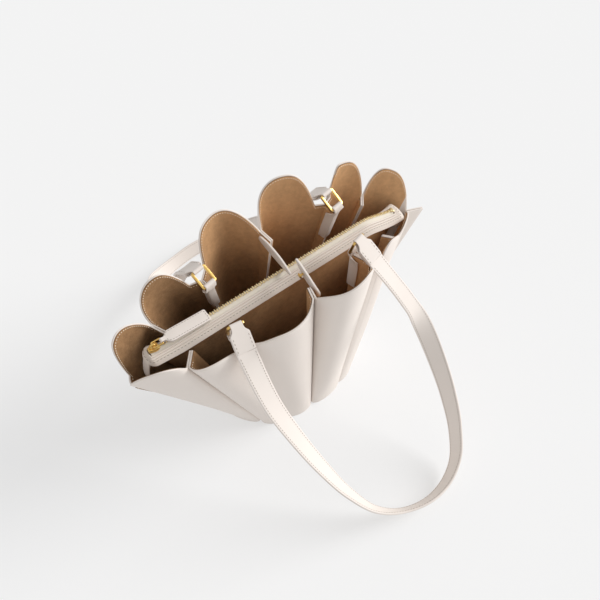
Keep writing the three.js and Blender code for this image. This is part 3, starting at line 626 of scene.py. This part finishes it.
turns = np.linspace(0, 2 * np.pi, baseSuede["steps"], endpoint=False)
baseOval = [(baseSuede["halfX"] * math.cos(t), baseSuede["halfY"] * math.sin(t)) for t in turns]
baseLining = platePiece("base_suede", baseOval, baseSuede["thick"])
baseLining.data.transform(shift(0, 0, petalMake["foot"]))
roundEdges(baseLining, baseSuede["edge"])
paintSuedeLight(baseLining)
finishPiece(baseLining, suede, ["base_lining"])
print("base made")


# Zip line and the leather band along it: edges are y and z beside the zip

zipLine = dict(y=2, z=227, fall=16, bendX=105, endX=168, leftX=-166, rightX=156)
zipBand = dict(leftX=-178, rightX=170, rightRound=5, leftRound=10, flare=45, thick=1.4, edge=0.35,
               sideSteps=90, endSteps=20, rows=40, crown=0.5, slotPastLeft=6, slotPastRight=3, stitchAt=0.4)
bandStitch = dict(length=2.8, pitch=4.0, radius=0.36, lift=0.12)
# lines pressed along the band: how far up from the skirt, how high or deep, and how wide
bandLines = [
    dict(at=0.4, high=-0.2, wide=0.035),
    dict(at=0.58, high=-0.75, wide=0.03),
    dict(at=0.65, high=0.35, wide=0.03),
    dict(at=0.8, high=-0.7, wide=0.03),
    dict(at=0.87, high=0.4, wide=0.03),
]
bandEdges = {
    "middle": dict(frontSlot=(-5.5, -3.5), frontSkirt=(-15, -11.9),
                   backSlot=(4.4, -6), backSkirt=(6.5, -18)),
    "end": dict(frontSlot=(-5, -1.5), frontSkirt=(-14, -9),
                backSlot=(5, -0.5), backSkirt=(12, -5)),
}


def zipHeight(x):
    return zipLine["z"] - zipLine["fall"] * smoothstep(x, zipLine["bendX"], zipLine["endX"])


def besideZip(x, edges, edge):
    nearLeft = 1 - smoothstep(x, zipBand["leftX"], zipBand["leftX"] + zipBand["flare"])
    share = nearLeft + smoothstep(x, zipBand["rightX"] - zipBand["flare"], zipBand["rightX"])
    middle = np.array(edges["middle"][edge], float)
    end = np.array(edges["end"][edge], float)
    y, z = middle + (end - middle) * share
    return np.array([x, zipLine["y"] + y, zipHeight(x) + z])


def bandLoop(edge, leftX, rightX, leftBow, rightBow):
    def between(x, share):
        front = besideZip(x, bandEdges, "front" + edge)
        back = besideZip(x, bandEdges, "back" + edge)
        return front * (1 - share) + back * share

    def roundEnd(x, bow, turns):
        return [between(x, (1 - math.cos(t)) / 2) + np.array([bow * math.sin(t), 0, 0]) for t in turns]

    alongZip = np.linspace(leftX, rightX, zipBand["sideSteps"] + 1)
    roundTurns = np.linspace(0, np.pi, zipBand["endSteps"] + 1)[1:-1]
    loop = [between(x, 0) for x in alongZip]
    loop += roundEnd(rightX, rightBow, roundTurns)
    loop += [between(x, 1) for x in alongZip[::-1]]
    loop += roundEnd(leftX, -leftBow, roundTurns[::-1])
    return np.array(loop + loop[:1])


slotLoop = bandLoop("Slot", zipLine["leftX"] - zipBand["slotPastLeft"],
                    zipLine["rightX"] + zipBand["slotPastRight"], 0, 0)
skirtLoop = bandLoop("Skirt", zipBand["leftX"] + zipBand["leftRound"],
                     zipBand["rightX"] - zipBand["rightRound"], zipBand["leftRound"], zipBand["rightRound"])
bandUp = np.linspace(0, 1, zipBand["rows"] + 1)[:, None, None]
bandPoints = skirtLoop[None] + (slotLoop - skirtLoop)[None] * bandUp
bandNormals = gridNormals(bandPoints)
bandShape = zipBand["crown"] * np.sin(np.pi * bandUp)
for pressed in bandLines:
    bandShape = bandShape + pressed["high"] * np.exp(-((bandUp - pressed["at"]) / pressed["wide"])**2)
bandPoints = bandPoints + bandNormals * bandShape
bandPoints[:, -1] = bandPoints[:, 0]
band = sheetPiece("zip_band_leather", bandPoints, zipBand, closed=True)
finishPiece(band, bandLeather, ["zip_band"])

seamRow = round(zipBand["stitchAt"] * zipBand["rows"])
bandSeam = bandPoints[seamRow] + bandNormals[seamRow] * bandStitch["lift"]
sewn("zip_band_stitches", stitchRow(bandSeam, bandNormals[seamRow], bandStitch["pitch"]), size=bandStitch)


# Zip tape under the band, and the teeth on its ridge

zipTape = dict(thick=0.6, pastLeft=4, pastRight=2, steps=100, rowsEach=5)
tapeEdges = {
    "middle": dict(front=(-6.6, -7.1), ridge=(0, -1), back=(2.8, -8)),
    "end": dict(front=(-4.4, -3.6), ridge=(0, -1), back=(4.4, -3.4)),
}
zipTeeth = dict(pitch=5.4, along=1.35, across=3.4, high=1.5, apart=0.4, lift=0.1, leftX=-158.4, edge=0.25)
endStop = dict(past=1.6, levelX=158, drop=0.1, growth=(1.9, 1.8, 1.2, 1))

tapeLines = []
tapeShare = np.linspace(0, 1, zipTape["rowsEach"] + 1)[:, None]
for x in np.linspace(zipLine["leftX"] - zipTape["pastLeft"], zipLine["rightX"] + zipTape["pastRight"],
                     zipTape["steps"] + 1):
    front, ridge, back = [besideZip(x, tapeEdges, edge) for edge in ("front", "ridge", "back")]
    rising = front + (ridge - front) * tapeShare
    falling = ridge + (back - ridge) * tapeShare[1:]
    tapeLines.append(np.concatenate([rising, falling]))
tapePiece = gridPiece("zip_tape_cloth", np.array(tapeLines).transpose(1, 0, 2))
thicken(tapePiece, zipTape["thick"])
finishPiece(tapePiece, tape, ["zip_tape"])

tooth = startPiece("tooth", bpy.ops.mesh.primitive_cube_add, size=1)
tooth.scale = (zipTeeth["along"] * mm, zipTeeth["across"] * mm, zipTeeth["high"] * mm)
bpy.ops.object.transform_apply(scale=True)
roundEdges(tooth, zipTeeth["edge"], 1)
teeth = []
toothCount = int((zipLine["rightX"] - zipTeeth["leftX"]) / zipTeeth["pitch"] * 2)
for i in range(toothCount + 1):
    x = zipTeeth["leftX"] + i * zipTeeth["pitch"] / 2
    y = zipLine["y"] + (zipTeeth["apart"] if i % 2 else -zipTeeth["apart"])
    slope = math.degrees(math.atan2(zipHeight(x + 1) - zipHeight(x - 1), 2))
    copy = tooth.copy()
    copy.data = tooth.data.copy()
    copy.data.transform(shift(x, y, zipHeight(x) + zipTeeth["lift"]) @ spin(-slope, "Y"))
    bpy.context.scene.collection.objects.link(copy)
    teeth.append(copy)
stopZ = zipHeight(endStop["levelX"]) - endStop["drop"]
stopPlace = shift(zipLine["rightX"] + endStop["past"], zipLine["y"], stopZ)
tooth.data.transform(stopPlace @ Matrix.Diagonal(endStop["growth"]))
zipRow = joinPieces("zip_teeth_gold", teeth + [tooth])
finishPiece(zipRow, paleGold, ["zip_teeth"])


# Suede pocket that hangs from the band to the floor of the bag

pocket = dict(wall=1.3, corner=4, steps=72, rows=20, belly=4, fold=0.5, foldTurns=(0.11, 5), low=3.8,
              drop=10.5, foot=dict(left=-82, right=82, half=7, y=0),
              mouth=dict(left=-164, right=150, half=6.2, y=-0.9))


def pocketPoint(share, turn):
    def squared(value):
        return math.copysign(abs(value) ** (2 / pocket["corner"]), value)

    across = squared(math.cos(turn))
    out = squared(math.sin(turn))
    ends = []
    for row in (pocket["foot"], pocket["mouth"]):
        x = (row["left"] + row["right"]) / 2 + (row["right"] - row["left"]) / 2 * across
        ends.append(np.array([x, row["y"] + row["half"] * out, pocket["low"]]))
    ends[1][2] = zipHeight(ends[1][0]) - pocket["drop"]
    point = ends[0] + (ends[1] - ends[0]) * share
    sag = math.sin(math.pi * share)
    turnsAlong, turnsUp = pocket["foldTurns"]
    fold = pocket["fold"] * math.sin(point[0] * turnsAlong + turnsUp * share)
    point[1] += sag * (pocket["belly"] * out + fold)
    return point


pocketTurns = np.linspace(0, 2 * np.pi, pocket["steps"] + 1)
pocketShares = np.linspace(0, 1, pocket["rows"] + 1)
pocketPoints = np.array([[pocketPoint(share, turn) for turn in pocketTurns] for share in pocketShares])
pocketPiece = gridPiece("divider_pocket_suede", pocketPoints, closed=True)
thicken(pocketPiece, pocket["wall"])
paintSuedeLight(pocketPiece)
finishPiece(pocketPiece, suede, ["divider_pocket"])
print("zipped divider made")


# Tabs that tie the divider's ends to the end pleats: x, z and width along each

endTab = dict(thick=1.6, edge=0.4, seat=1, stepsEach=8, columns=6)
endTabs = {
    "left": dict(pleat="endLeft",
                 route=[(-174.2, 217.6, 12), (-178, 205, 12), (-180, 184, 11), (-173, 164, 10)]),
    "right": dict(pleat="endRight",
                  route=[(164.4, 202, 9), (170.4, 195, 9), (174.6, 186, 8), (170.6, 172, 7)]),
}

for side, tab in endTabs.items():
    lastY = pleats[tab["pleat"]]["y"] - endTab["seat"]
    knots = []
    for i, (x, z, width) in enumerate(tab["route"]):
        y = zipLine["y"] + (lastY - zipLine["y"]) * i / (len(tab["route"]) - 1)
        knots.append((x, y, z, width))
    line = smoothLine(knots, endTab["stepsEach"])
    across = np.linspace(-0.5, 0.5, endTab["columns"] + 1)
    points = np.array([[(x, y + w * width, z) for w in across] for x, y, z, width in line])
    piece = sheetPiece("end_tab_" + side + "_leather", points, endTab, offset=0)
    finishPiece(piece, leather, ["end_tab_" + side])
print("end tabs made")


# Square loops of gold bar, for the rings and the pull's link

def wireLoop(name, size):
    # a flat plate with rounded corners, its middle taken out, raised to the bar's height
    bar = size["bar"]
    piece = startPiece(name, bpy.ops.mesh.primitive_plane_add, size=1)
    piece.data.transform(shift(0, (size["length"] - bar) / 2, -bar / 2)
                         @ Matrix.Diagonal((size["width"] * mm, size["length"] * mm, 1, 1)))
    inEditMode(piece,
               lambda: bpy.ops.mesh.bevel(offset=size["corner"] * mm, segments=6, affect="VERTICES"),
               lambda: bpy.ops.mesh.select_all(action="SELECT"),
               lambda: bpy.ops.mesh.inset(thickness=bar * mm, depth=0),
               lambda: bpy.ops.mesh.delete(type="FACE"),
               lambda: bpy.ops.mesh.select_all(action="SELECT"),
               lambda: raiseFaces(bar))
    roundEdges(piece, size["rounding"], 3)
    return piece


# Zip slider with its bail: the plan is in shares of half its length and width

slider = dict(x=-165, bottom=226.4, length=12, width=8.6, height=4.6, edge=0.8,
              plan=[(-1, 0.5), (-0.6, 0.72), (0.1, 0.98), (0.6, 1), (1, 0.75)])
sliderBail = dict(half=3.864, rise=5.264, roundness=0.7, sink=0.3, width=2.4, thick=1.2, edge=0.35,
                  steps=20)

lowerSide = [(x * slider["length"] / 2, -y * slider["width"] / 2) for x, y in slider["plan"]]
upperSide = [(x, -y) for x, y in lowerSide[::-1]]
sliderBody = platePiece("zip_slider_gold", lowerSide + upperSide, slider["height"])
roundEdges(sliderBody, slider["edge"], 3)
bailPoints = []
for turn in np.linspace(0, np.pi, sliderBail["steps"] + 1):
    x = sliderBail["half"] * math.cos(turn)
    arch = math.sin(turn) ** sliderBail["roundness"]
    z = slider["height"] - sliderBail["sink"] + sliderBail["rise"] * arch
    bailPoints.append([(x, w * sliderBail["width"], z) for w in (-0.5, -0.17, 0.17, 0.5)])
bail = sheetPiece("bail", np.array(bailPoints), sliderBail, offset=0)
sliderPiece = joinPieces("zip_slider_gold", [sliderBody, bail])
sliderPiece.data.transform(shift(slider["x"], zipLine["y"], slider["bottom"]))
finishPiece(sliderPiece, gold, ["zip_slider"])


# Link on the slider and the leather pull: a tongue, and a neck folded round the link

pullLink = dict(pivotZ=234.0, dip=4, length=12, width=8.4, bar=1.4, corner=1.7, rounding=0.45)
pull = dict(length=55, width=15, thick=2.6, edge=0.6, corner=1.6, shoulder=0.55, shoulderX=(3, 6, 10),
            sideSteps=12)
pullNeck = dict(width=4.6, start=3, eye=1.15, thick=0.9, sink=0.55, overlap=2, clear=1.5, foldSteps=12)
pullStitch = dict(inset=1.7, pitch=3.2, lift=0.05)

pullPlace = shift(slider["x"], zipLine["y"], pullLink["pivotZ"]) @ spin(pullLink["dip"], "Y")
link = wireLoop("pull_link_gold", pullLink)
link.data.transform(pullPlace @ spin(-90, "Z"))
finishPiece(link, gold, ["pull_link"], body="pull")

barX = pullLink["length"] - pullLink["bar"]
startX = barX + pullNeck["start"]
endX = barX + pull["length"]


def tongueOutline(inset):
    half = pull["width"] / 2 - inset
    neck = pullNeck["width"] / 2 - inset * 0.6
    right = endX - inset
    corner = pull["corner"]
    rising, full, straight = [startX + x for x in pull["shoulderX"]]
    lower = [(startX + inset, -neck), (rising, -neck - (half - neck) * pull["shoulder"]), (full, -half)]
    lower += [(x, -half) for x in np.linspace(straight, right - corner, pull["sideSteps"])]
    lower += [(right - corner * 0.3, -half + corner * 0.3), (right, -half + corner)]
    return lower + [(x, -y) for x, y in lower[::-1]]


tongue = platePiece("zip_pull_leather", tongueOutline(0), pull["thick"])
tongue.data.transform(shift(0, 0, -pull["thick"] / 2))
roundEdges(tongue, pull["edge"], 3)
flapZ = pull["thick"] / 2 - pullNeck["sink"]
flapX = np.linspace(startX + pullNeck["overlap"], barX + pullNeck["clear"], 5)
neckLine = [(x, flapZ) for x in flapX]
for turn in np.linspace(0.5 * np.pi, 1.5 * np.pi, pullNeck["foldSteps"] + 1):
    neckLine.append((barX + pullNeck["eye"] * math.cos(turn), pullNeck["eye"] * math.sin(turn)))
neckLine += [(x, -flapZ) for x in flapX[::-1]]
neckAcross = np.linspace(-0.5, 0.5, 5) * pullNeck["width"]
neck = gridPiece("neck", np.array([[(x, y, z) for y in neckAcross] for x, z in neckLine]))
thicken(neck, pullNeck["thick"], offset=1)
inEditMode(neck, facesOut)
pullPiece = joinPieces("zip_pull_leather", [tongue, neck])
pullPiece.data.transform(pullPlace)
finishPiece(pullPiece, leather, ["zip_pull"], body="pull")

pullStitches = []
seam = tongueOutline(pullStitch["inset"])
for face in (1, -1):
    z = face * (pull["thick"] / 2 + pullStitch["lift"])
    line = placed(pullPlace, [(x, y, z) for x, y in seam + seam[:1]])
    facing = np.array([pullPlace.to_3x3() @ Vector((0, 0, face))] * len(line))
    pullStitches += stitchRow(line, facing, pullStitch["pitch"])
sewn("zip_pull_stitches", pullStitches, body="pull")
print("zip slider and pull made")


# Rings at four pleats, the tabs that hold them and the ends of the straps

ring = dict(width=19, length=22, bar=2.6, corner=2.6, rounding=0.8, lift=9)
rings = {
    "back_left": dict(pleat="back2", tilt=30, dip=40),
    "back_right": dict(pleat="back4", tilt=33, dip=40),
    "front_left": dict(pleat="front2", tilt=76, dip=42),
    "front_right": dict(pleat="front4", tilt=78, dip=37),
}

ringTab = dict(thick=1.4, edge=0.35, half=3.8, flapMost=12, flapSpare=5, clear=0.3, eye=1.75, barFlap=2.9,
               barTurns=(0, 22, 45, 67, 90, 112, 135, 157, 180), tail=5)
# rows up the pleat: how far below its top, how wide the flaps are as a share, and their fold in degrees
tabFlaps = [(43, 0.8, 90), (33, 0.86, 90), (24, 0.9, 90), (14, 0.9, 90), (4, 0.9, 84)]
# rows above the pleat, so below its top by less than nothing: then how far inwards, flap width and fold
tabNeck = [(-1, 0.6, 5.5, 45), (-5.5, 1.9, 3.2, 4)]
# columns across: shares of half its width, and of the flap beside it
tabColumns = [(-1, 1), (-1, 0.5), (-1, 0), (-0.5, 0), (0, 0), (0.5, 0), (1, 0), (1, 0.5), (1, 1)]

strapEnd = dict(width=21.4, length=29, thick=1.1, edge=0.4, eyeWidth=13, neck=4, shoulder=10, eye=1.65,
                endGap=1.36, foldSteps=10, columns=8, closing=(5, 16))
strapEndSeam = dict(inset=2.2, clear=1, lift=0.08, foldPast=0.2, foldLift=0.1)
strap = dict(width=22, thick=2.6, edge=0.8, stepsEach=10, columns=8, stitchInset=2.2, stitchLift=0.08,
             insideEnd=10, pastEnd=3)


def ringTabPoints(pleat):
    way = heading(pleat["angle"])
    sideways = heading(pleat["angle"] - 90)
    up = np.array([0, 0, 1.0])
    top = pleatTop(pleat)
    down = unit(pleatFoot(pleat) - top)
    bar = top + up * ring["lift"]

    def below(distance):
        return top + down * distance - way * ringTab["clear"]

    def aroundBar(degrees):
        turn = math.radians(degrees)
        return bar - way * ringTab["eye"] * math.cos(turn) + up * ringTab["eye"] * math.sin(turn)

    wide = min(ringTab["flapMost"], pleat["depth"] - ringTab["flapSpare"])
    rows = [(below(distance), wide * share, fold) for distance, share, fold in tabFlaps]
    rows += [(below(distance) - way * inwards, flap, fold) for distance, inwards, flap, fold in tabNeck]
    rows += [(aroundBar(degrees), ringTab["barFlap"], 0) for degrees in ringTab["barTurns"]]
    rows.append((aroundBar(180) - up * ringTab["tail"], ringTab["barFlap"], 0))
    grid = []
    for at, flap, fold in rows:
        reach = flap * math.cos(math.radians(fold))
        wrap = flap * math.sin(math.radians(fold))
        line = []
        for side, out in tabColumns:
            across = side * ringTab["half"] + np.sign(side) * reach * out
            line.append(at + sideways * across + way * wrap * out)
        grid.append(line)
    return np.array(grid)


def strapEndPoints():
    full, narrow = strapEnd["width"], strapEnd["eyeWidth"]
    flap = [(strapEnd["length"], full), (22, full), (15, full), (strapEnd["shoulder"], full),
            (8.6, full - 1.4), (6.4, narrow + 2.4), (strapEnd["neck"], narrow)]

    def rise(y):
        closed = smoothstep(y, *strapEnd["closing"])
        return strapEnd["eye"] + (strapEnd["endGap"] - strapEnd["eye"]) * closed

    rows = [(y, rise(y), width) for y, width in flap]
    for turn in np.linspace(0.5 * np.pi, 1.5 * np.pi, strapEnd["foldSteps"] + 1):
        rows.append((strapEnd["eye"] * math.cos(turn), strapEnd["eye"] * math.sin(turn), narrow))
    rows += [(y, -rise(y), width) for y, width in flap[::-1]]
    across = np.linspace(-0.5, 0.5, strapEnd["columns"] + 1)
    return np.array([[(w * width, y, z) for w in across] for y, z, width in rows])


strapStarts = {}
endStitches, edgeShadowStitches = [], []
for name, row in rings.items():
    pleat = pleats[row["pleat"]]
    atPleat = shift(*pleatTop(pleat)) @ spin(pleat["angle"] - 90, "Z")
    atBar = atPleat @ shift(0, 0, ring["lift"]) @ spin(row["tilt"], "X")
    leaving = atBar @ shift(0, ring["length"] - ring["bar"], 0) @ spin(-row["dip"] - row["tilt"], "X")

    goldRing = wireLoop("ring_" + name + "_gold", ring)
    goldRing.data.transform(atBar)
    finishPiece(goldRing, gold, ["ring_" + name])

    tabPiece = sheetPiece("ring_tab_" + name + "_leather", ringTabPoints(pleat), ringTab, offset=1)
    finishPiece(tabPiece, leather, ["ring_tab_" + name])

    endPiece = gridPiece("strap_end_" + name + "_leather", strapEndPoints())
    applyModifier(endPiece, "SUBSURF", levels=1, render_levels=1)
    thicken(endPiece, strapEnd["thick"])
    roundEdges(endPiece, strapEnd["edge"])
    endPiece.data.transform(leaving)
    finishPiece(endPiece, leather, ["strap_end_" + name])

    half = strapEnd["width"] / 2
    sewnX = half - strapEndSeam["inset"]
    sewnY = (strapEnd["shoulder"] + strapEndSeam["clear"], strapEnd["length"] - strapEndSeam["clear"])
    foldY = strapEnd["length"] + strapEndSeam["foldPast"]
    for face in (1, -1):
        z = face * (strapEnd["endGap"] + strapEnd["thick"] + strapEndSeam["lift"])
        foldZ = face * (strap["thick"] / 2 + strapEndSeam["foldLift"])
        facing = np.array([leaving.to_3x3() @ Vector((0, 0, face))] * 2)
        for x in (-sewnX, sewnX):
            line = placed(leaving, [(x, y, z) for y in sewnY])
            endStitches += stitchRow(line, facing)
        # a dark line just past the strap end's cut edge: painted shadow of the edge
        line = placed(leaving, [(x, foldY, foldZ) for x in (-half, half)])
        edgeShadowStitches += stitchRow(line, facing, edgeShadowStitch["pitch"])
    startY = (strap["insideEnd"], strapEnd["length"] + strap["pastEnd"])
    strapStarts[name] = placed(leaving, [(0, y, 0) for y in startY])
sewn("strap_end_stitches", endStitches)
sewn("strap_end_edge_shadows", edgeShadowStitches, size=edgeShadowStitch, yarn=edgeShadowThread)
print("rings and strap ends made")


# Straps: from one ring down to the floor, along it on edge, and up again: x, y, z and roll in degrees

strapRoutes = {
    "front": dict(start="front_left", end="front_right", rows=[
        (-91, -98, 170, -6), (-84, -128, 135, -14), (-72, -163, 94, -24), (-57, -194, 57, -36),
        (-36, -222, 27, -50), (-8, -240, 13, -62), (24, -249, 11.6, -62), (56, -246, 12.5, -60),
        (82, -233, 22, -62), (99, -209, 45, -64), (108, -178, 80, -58), (111, -145, 118, -46),
        (108, -112, 160, -26), (96, -92, 196, -8)]),
    "back": dict(start="back_right", end="back_left", rows=[
        (86, 84, 190, -4), (91, 106, 148, -8), (97, 136, 104, -14), (100, 166, 70, -26),
        (94, 196, 42, -44), (72, 219, 18, -60), (38, 231, 11.6, -66), (2, 233, 11.6, -66),
        (-36, 227, 13, -64), (-66, 212, 26, -54), (-82, 190, 50, -38), (-90, 160, 80, -24),
        (-92, 126, 116, -12), (-90, 98, 158, -6), (-87, 80, 196, -3)]),
}

for name, route in strapRoutes.items():
    start = strapStarts[route["start"]]
    end = strapStarts[route["end"]]
    knots = [(*start[0], 0), (*start[1], 0), *route["rows"], (*end[1], 0), (*end[0], 0)]
    line = smoothLine(knots, strap["stepsEach"])
    centre = line[:, :3]
    roll = np.radians(line[:, 3])[:, None]
    along = unit(np.gradient(centre, axis=0))
    level = unit(np.cross(np.array([0, 0, 1.0]), along))
    across = level * np.cos(roll) + np.cross(along, level) * np.sin(roll)
    out = np.cross(along, across)
    share = np.linspace(-0.5, 0.5, strap["columns"] + 1)
    points = centre[:, None] + across[:, None] * (share * strap["width"])[None, :, None]
    piece = sheetPiece("strap_" + name + "_leather", points, strap, offset=0, segments=3)
    finishPiece(piece, leather, ["strap_" + name])

    strapStitches = []
    free = slice(strap["stepsEach"], -strap["stepsEach"])  # what lies inside the strap ends has no stitches
    fromMiddle = strap["width"] / 2 - strap["stitchInset"]
    fromCore = strap["thick"] / 2 + strap["stitchLift"]
    for edge in (-1, 1):
        for face in (-1, 1):
            seam = centre + across * edge * fromMiddle + out * face * fromCore
            strapStitches += stitchRow(seam[free], out[free] * face)
    sewn("strap_" + name + "_stitches", strapStitches)
print("straps made")


# Snap tabs beside the middle pleats, outlined in y and z, and the gold stud, in radius and height

snapTab = dict(thick=2.4, edge=0.6, cornerShare=0.2, cornerRounds=2)
snapTabs = {
    "back": dict(x=-2.6, outline=[
        (47, 240), (30, 243.5), (8, 241), (-8, 234), (-11, 230), (-8, 228.4), (8, 228.4), (30, 230),
        (47, 233)]),
    "front": dict(x=2.9, outline=[
        (-53, 232), (-40, 234), (-24, 242), (-12, 254), (-11.5, 257), (-15, 257.5), (-30, 251.5),
        (-43, 245), (-53, 241)]),
}
stud = dict(x=2.6, y=-26, z=246.5, sides=32, profile=[
    (0, 0), (1.3, 0), (1.3, 3.4), (1.6, 3.6), (2.8, 3.65), (3.2, 3.9), (3.15, 4.4), (2.7, 4.85), (1.5, 5.0),
    (0, 5.0)])


def softCorners(outline):
    points = np.array(outline, float)
    cut = snapTab["cornerShare"]
    for _ in range(snapTab["cornerRounds"]):
        after = np.roll(points, -1, axis=0)
        points = np.stack([points * (1 - cut) + after * cut, points * cut + after * (1 - cut)], axis=1)
        points = points.reshape(-1, 2)
    return points


upright = Matrix(((0, 0, 1, 0), (1, 0, 0, 0), (0, 1, 0, 0), (0, 0, 0, 1)))
for name, tab in snapTabs.items():
    piece = platePiece("snap_tab_" + name + "_leather", softCorners(tab["outline"]), snapTab["thick"])
    piece.data.transform(shift(tab["x"], 0, 0) @ upright)
    inEditMode(piece, facesOut)
    roundEdges(piece, snapTab["edge"], 3)
    finishPiece(piece, leather, ["snap_tab_" + name])

studTurns = np.linspace(0, 2 * np.pi, stud["sides"] + 1)
studPoints = []
for radius, height in stud["profile"]:
    places = [(radius * math.cos(turn), radius * math.sin(turn)) for turn in studTurns]
    studPoints.append([(stud["x"] - height, stud["y"] + y, stud["z"] + z) for y, z in places])
studPiece = gridPiece("snap_stud_gold", np.array(studPoints), closed=True)
inEditMode(studPiece, facesOut)
finishPiece(studPiece, gold, ["snap_stud"])
print("snap tabs made")


# Floor, light and camera: distances in metres, lens and sensor in millimetres

studio = dict(floorSize=14, floorShade=(182, 182, 182), floorGlow=0.45, floorRoughness=(0.85, 0.95),
              sky=0.62, sun=2.5, sunSpread=36, sunFrom=(0.84, -0.3, 0.42))
camera = dict(azimuth=37, elevation=56, distance=0.78, target=(0, 0, 0.2), lens=42, sensor=36,
              shiftX=0.0233, shiftY=-0.0275)

floor = startPiece("studio_floor", bpy.ops.mesh.primitive_plane_add, size=studio["floorSize"])
floorMaterial, floorSurface, floorPlace = newMaterial("paleFloor")
floorPlace.noise(3, 2).span(*studio["floorRoughness"]).feeds(floorSurface, "Roughness")
floorSurface.inputs["Base Color"].default_value = colour(*studio["floorShade"])
floorSurface.inputs["Specular IOR Level"].default_value = 0.0
floorSurface.inputs["Emission Color"].default_value = (1, 1, 1, 1)
floorSurface.inputs["Emission Strength"].default_value = studio["floorGlow"]
floor.data.materials.append(floorMaterial)

world = bpy.data.worlds.new("softStudio")
bpy.context.scene.world = world
world.use_nodes = True
background = world.node_tree.nodes["Background"]
background.inputs["Color"].default_value = (1, 1, 1, 1)
background.inputs["Strength"].default_value = studio["sky"]

sun = bpy.data.lights.new("wideSun", "SUN")
sun.energy = studio["sun"]
sun.angle = math.radians(studio["sunSpread"])
sunPiece = bpy.data.objects.new("wideSun", sun)
sunPiece.rotation_euler = Vector(studio["sunFrom"]).to_track_quat("Z", "Y").to_euler()
bpy.context.scene.collection.objects.link(sunPiece)
bpy.context.scene.view_settings.view_transform = "Standard"

turn = math.radians(camera["azimuth"])
tilt = math.radians(camera["elevation"])
back = Vector((-math.sin(turn) * math.cos(tilt), -math.cos(turn) * math.cos(tilt), math.sin(tilt)))
eye = Vector(camera["target"]) + back * camera["distance"]
lensData = bpy.data.cameras.new("photoCamera")
lensData.lens = camera["lens"]
lensData.sensor_width = camera["sensor"]
lensData.shift_x = camera["shiftX"]
lensData.shift_y = camera["shiftY"]
photoCamera = bpy.data.objects.new("photoCamera", lensData)
photoCamera.matrix_world = Matrix.Translation(eye) @ back.to_track_quat("Z", "Y").to_matrix().to_4x4()
bpy.context.scene.collection.objects.link(photoCamera)
bpy.context.scene.camera = photoCamera
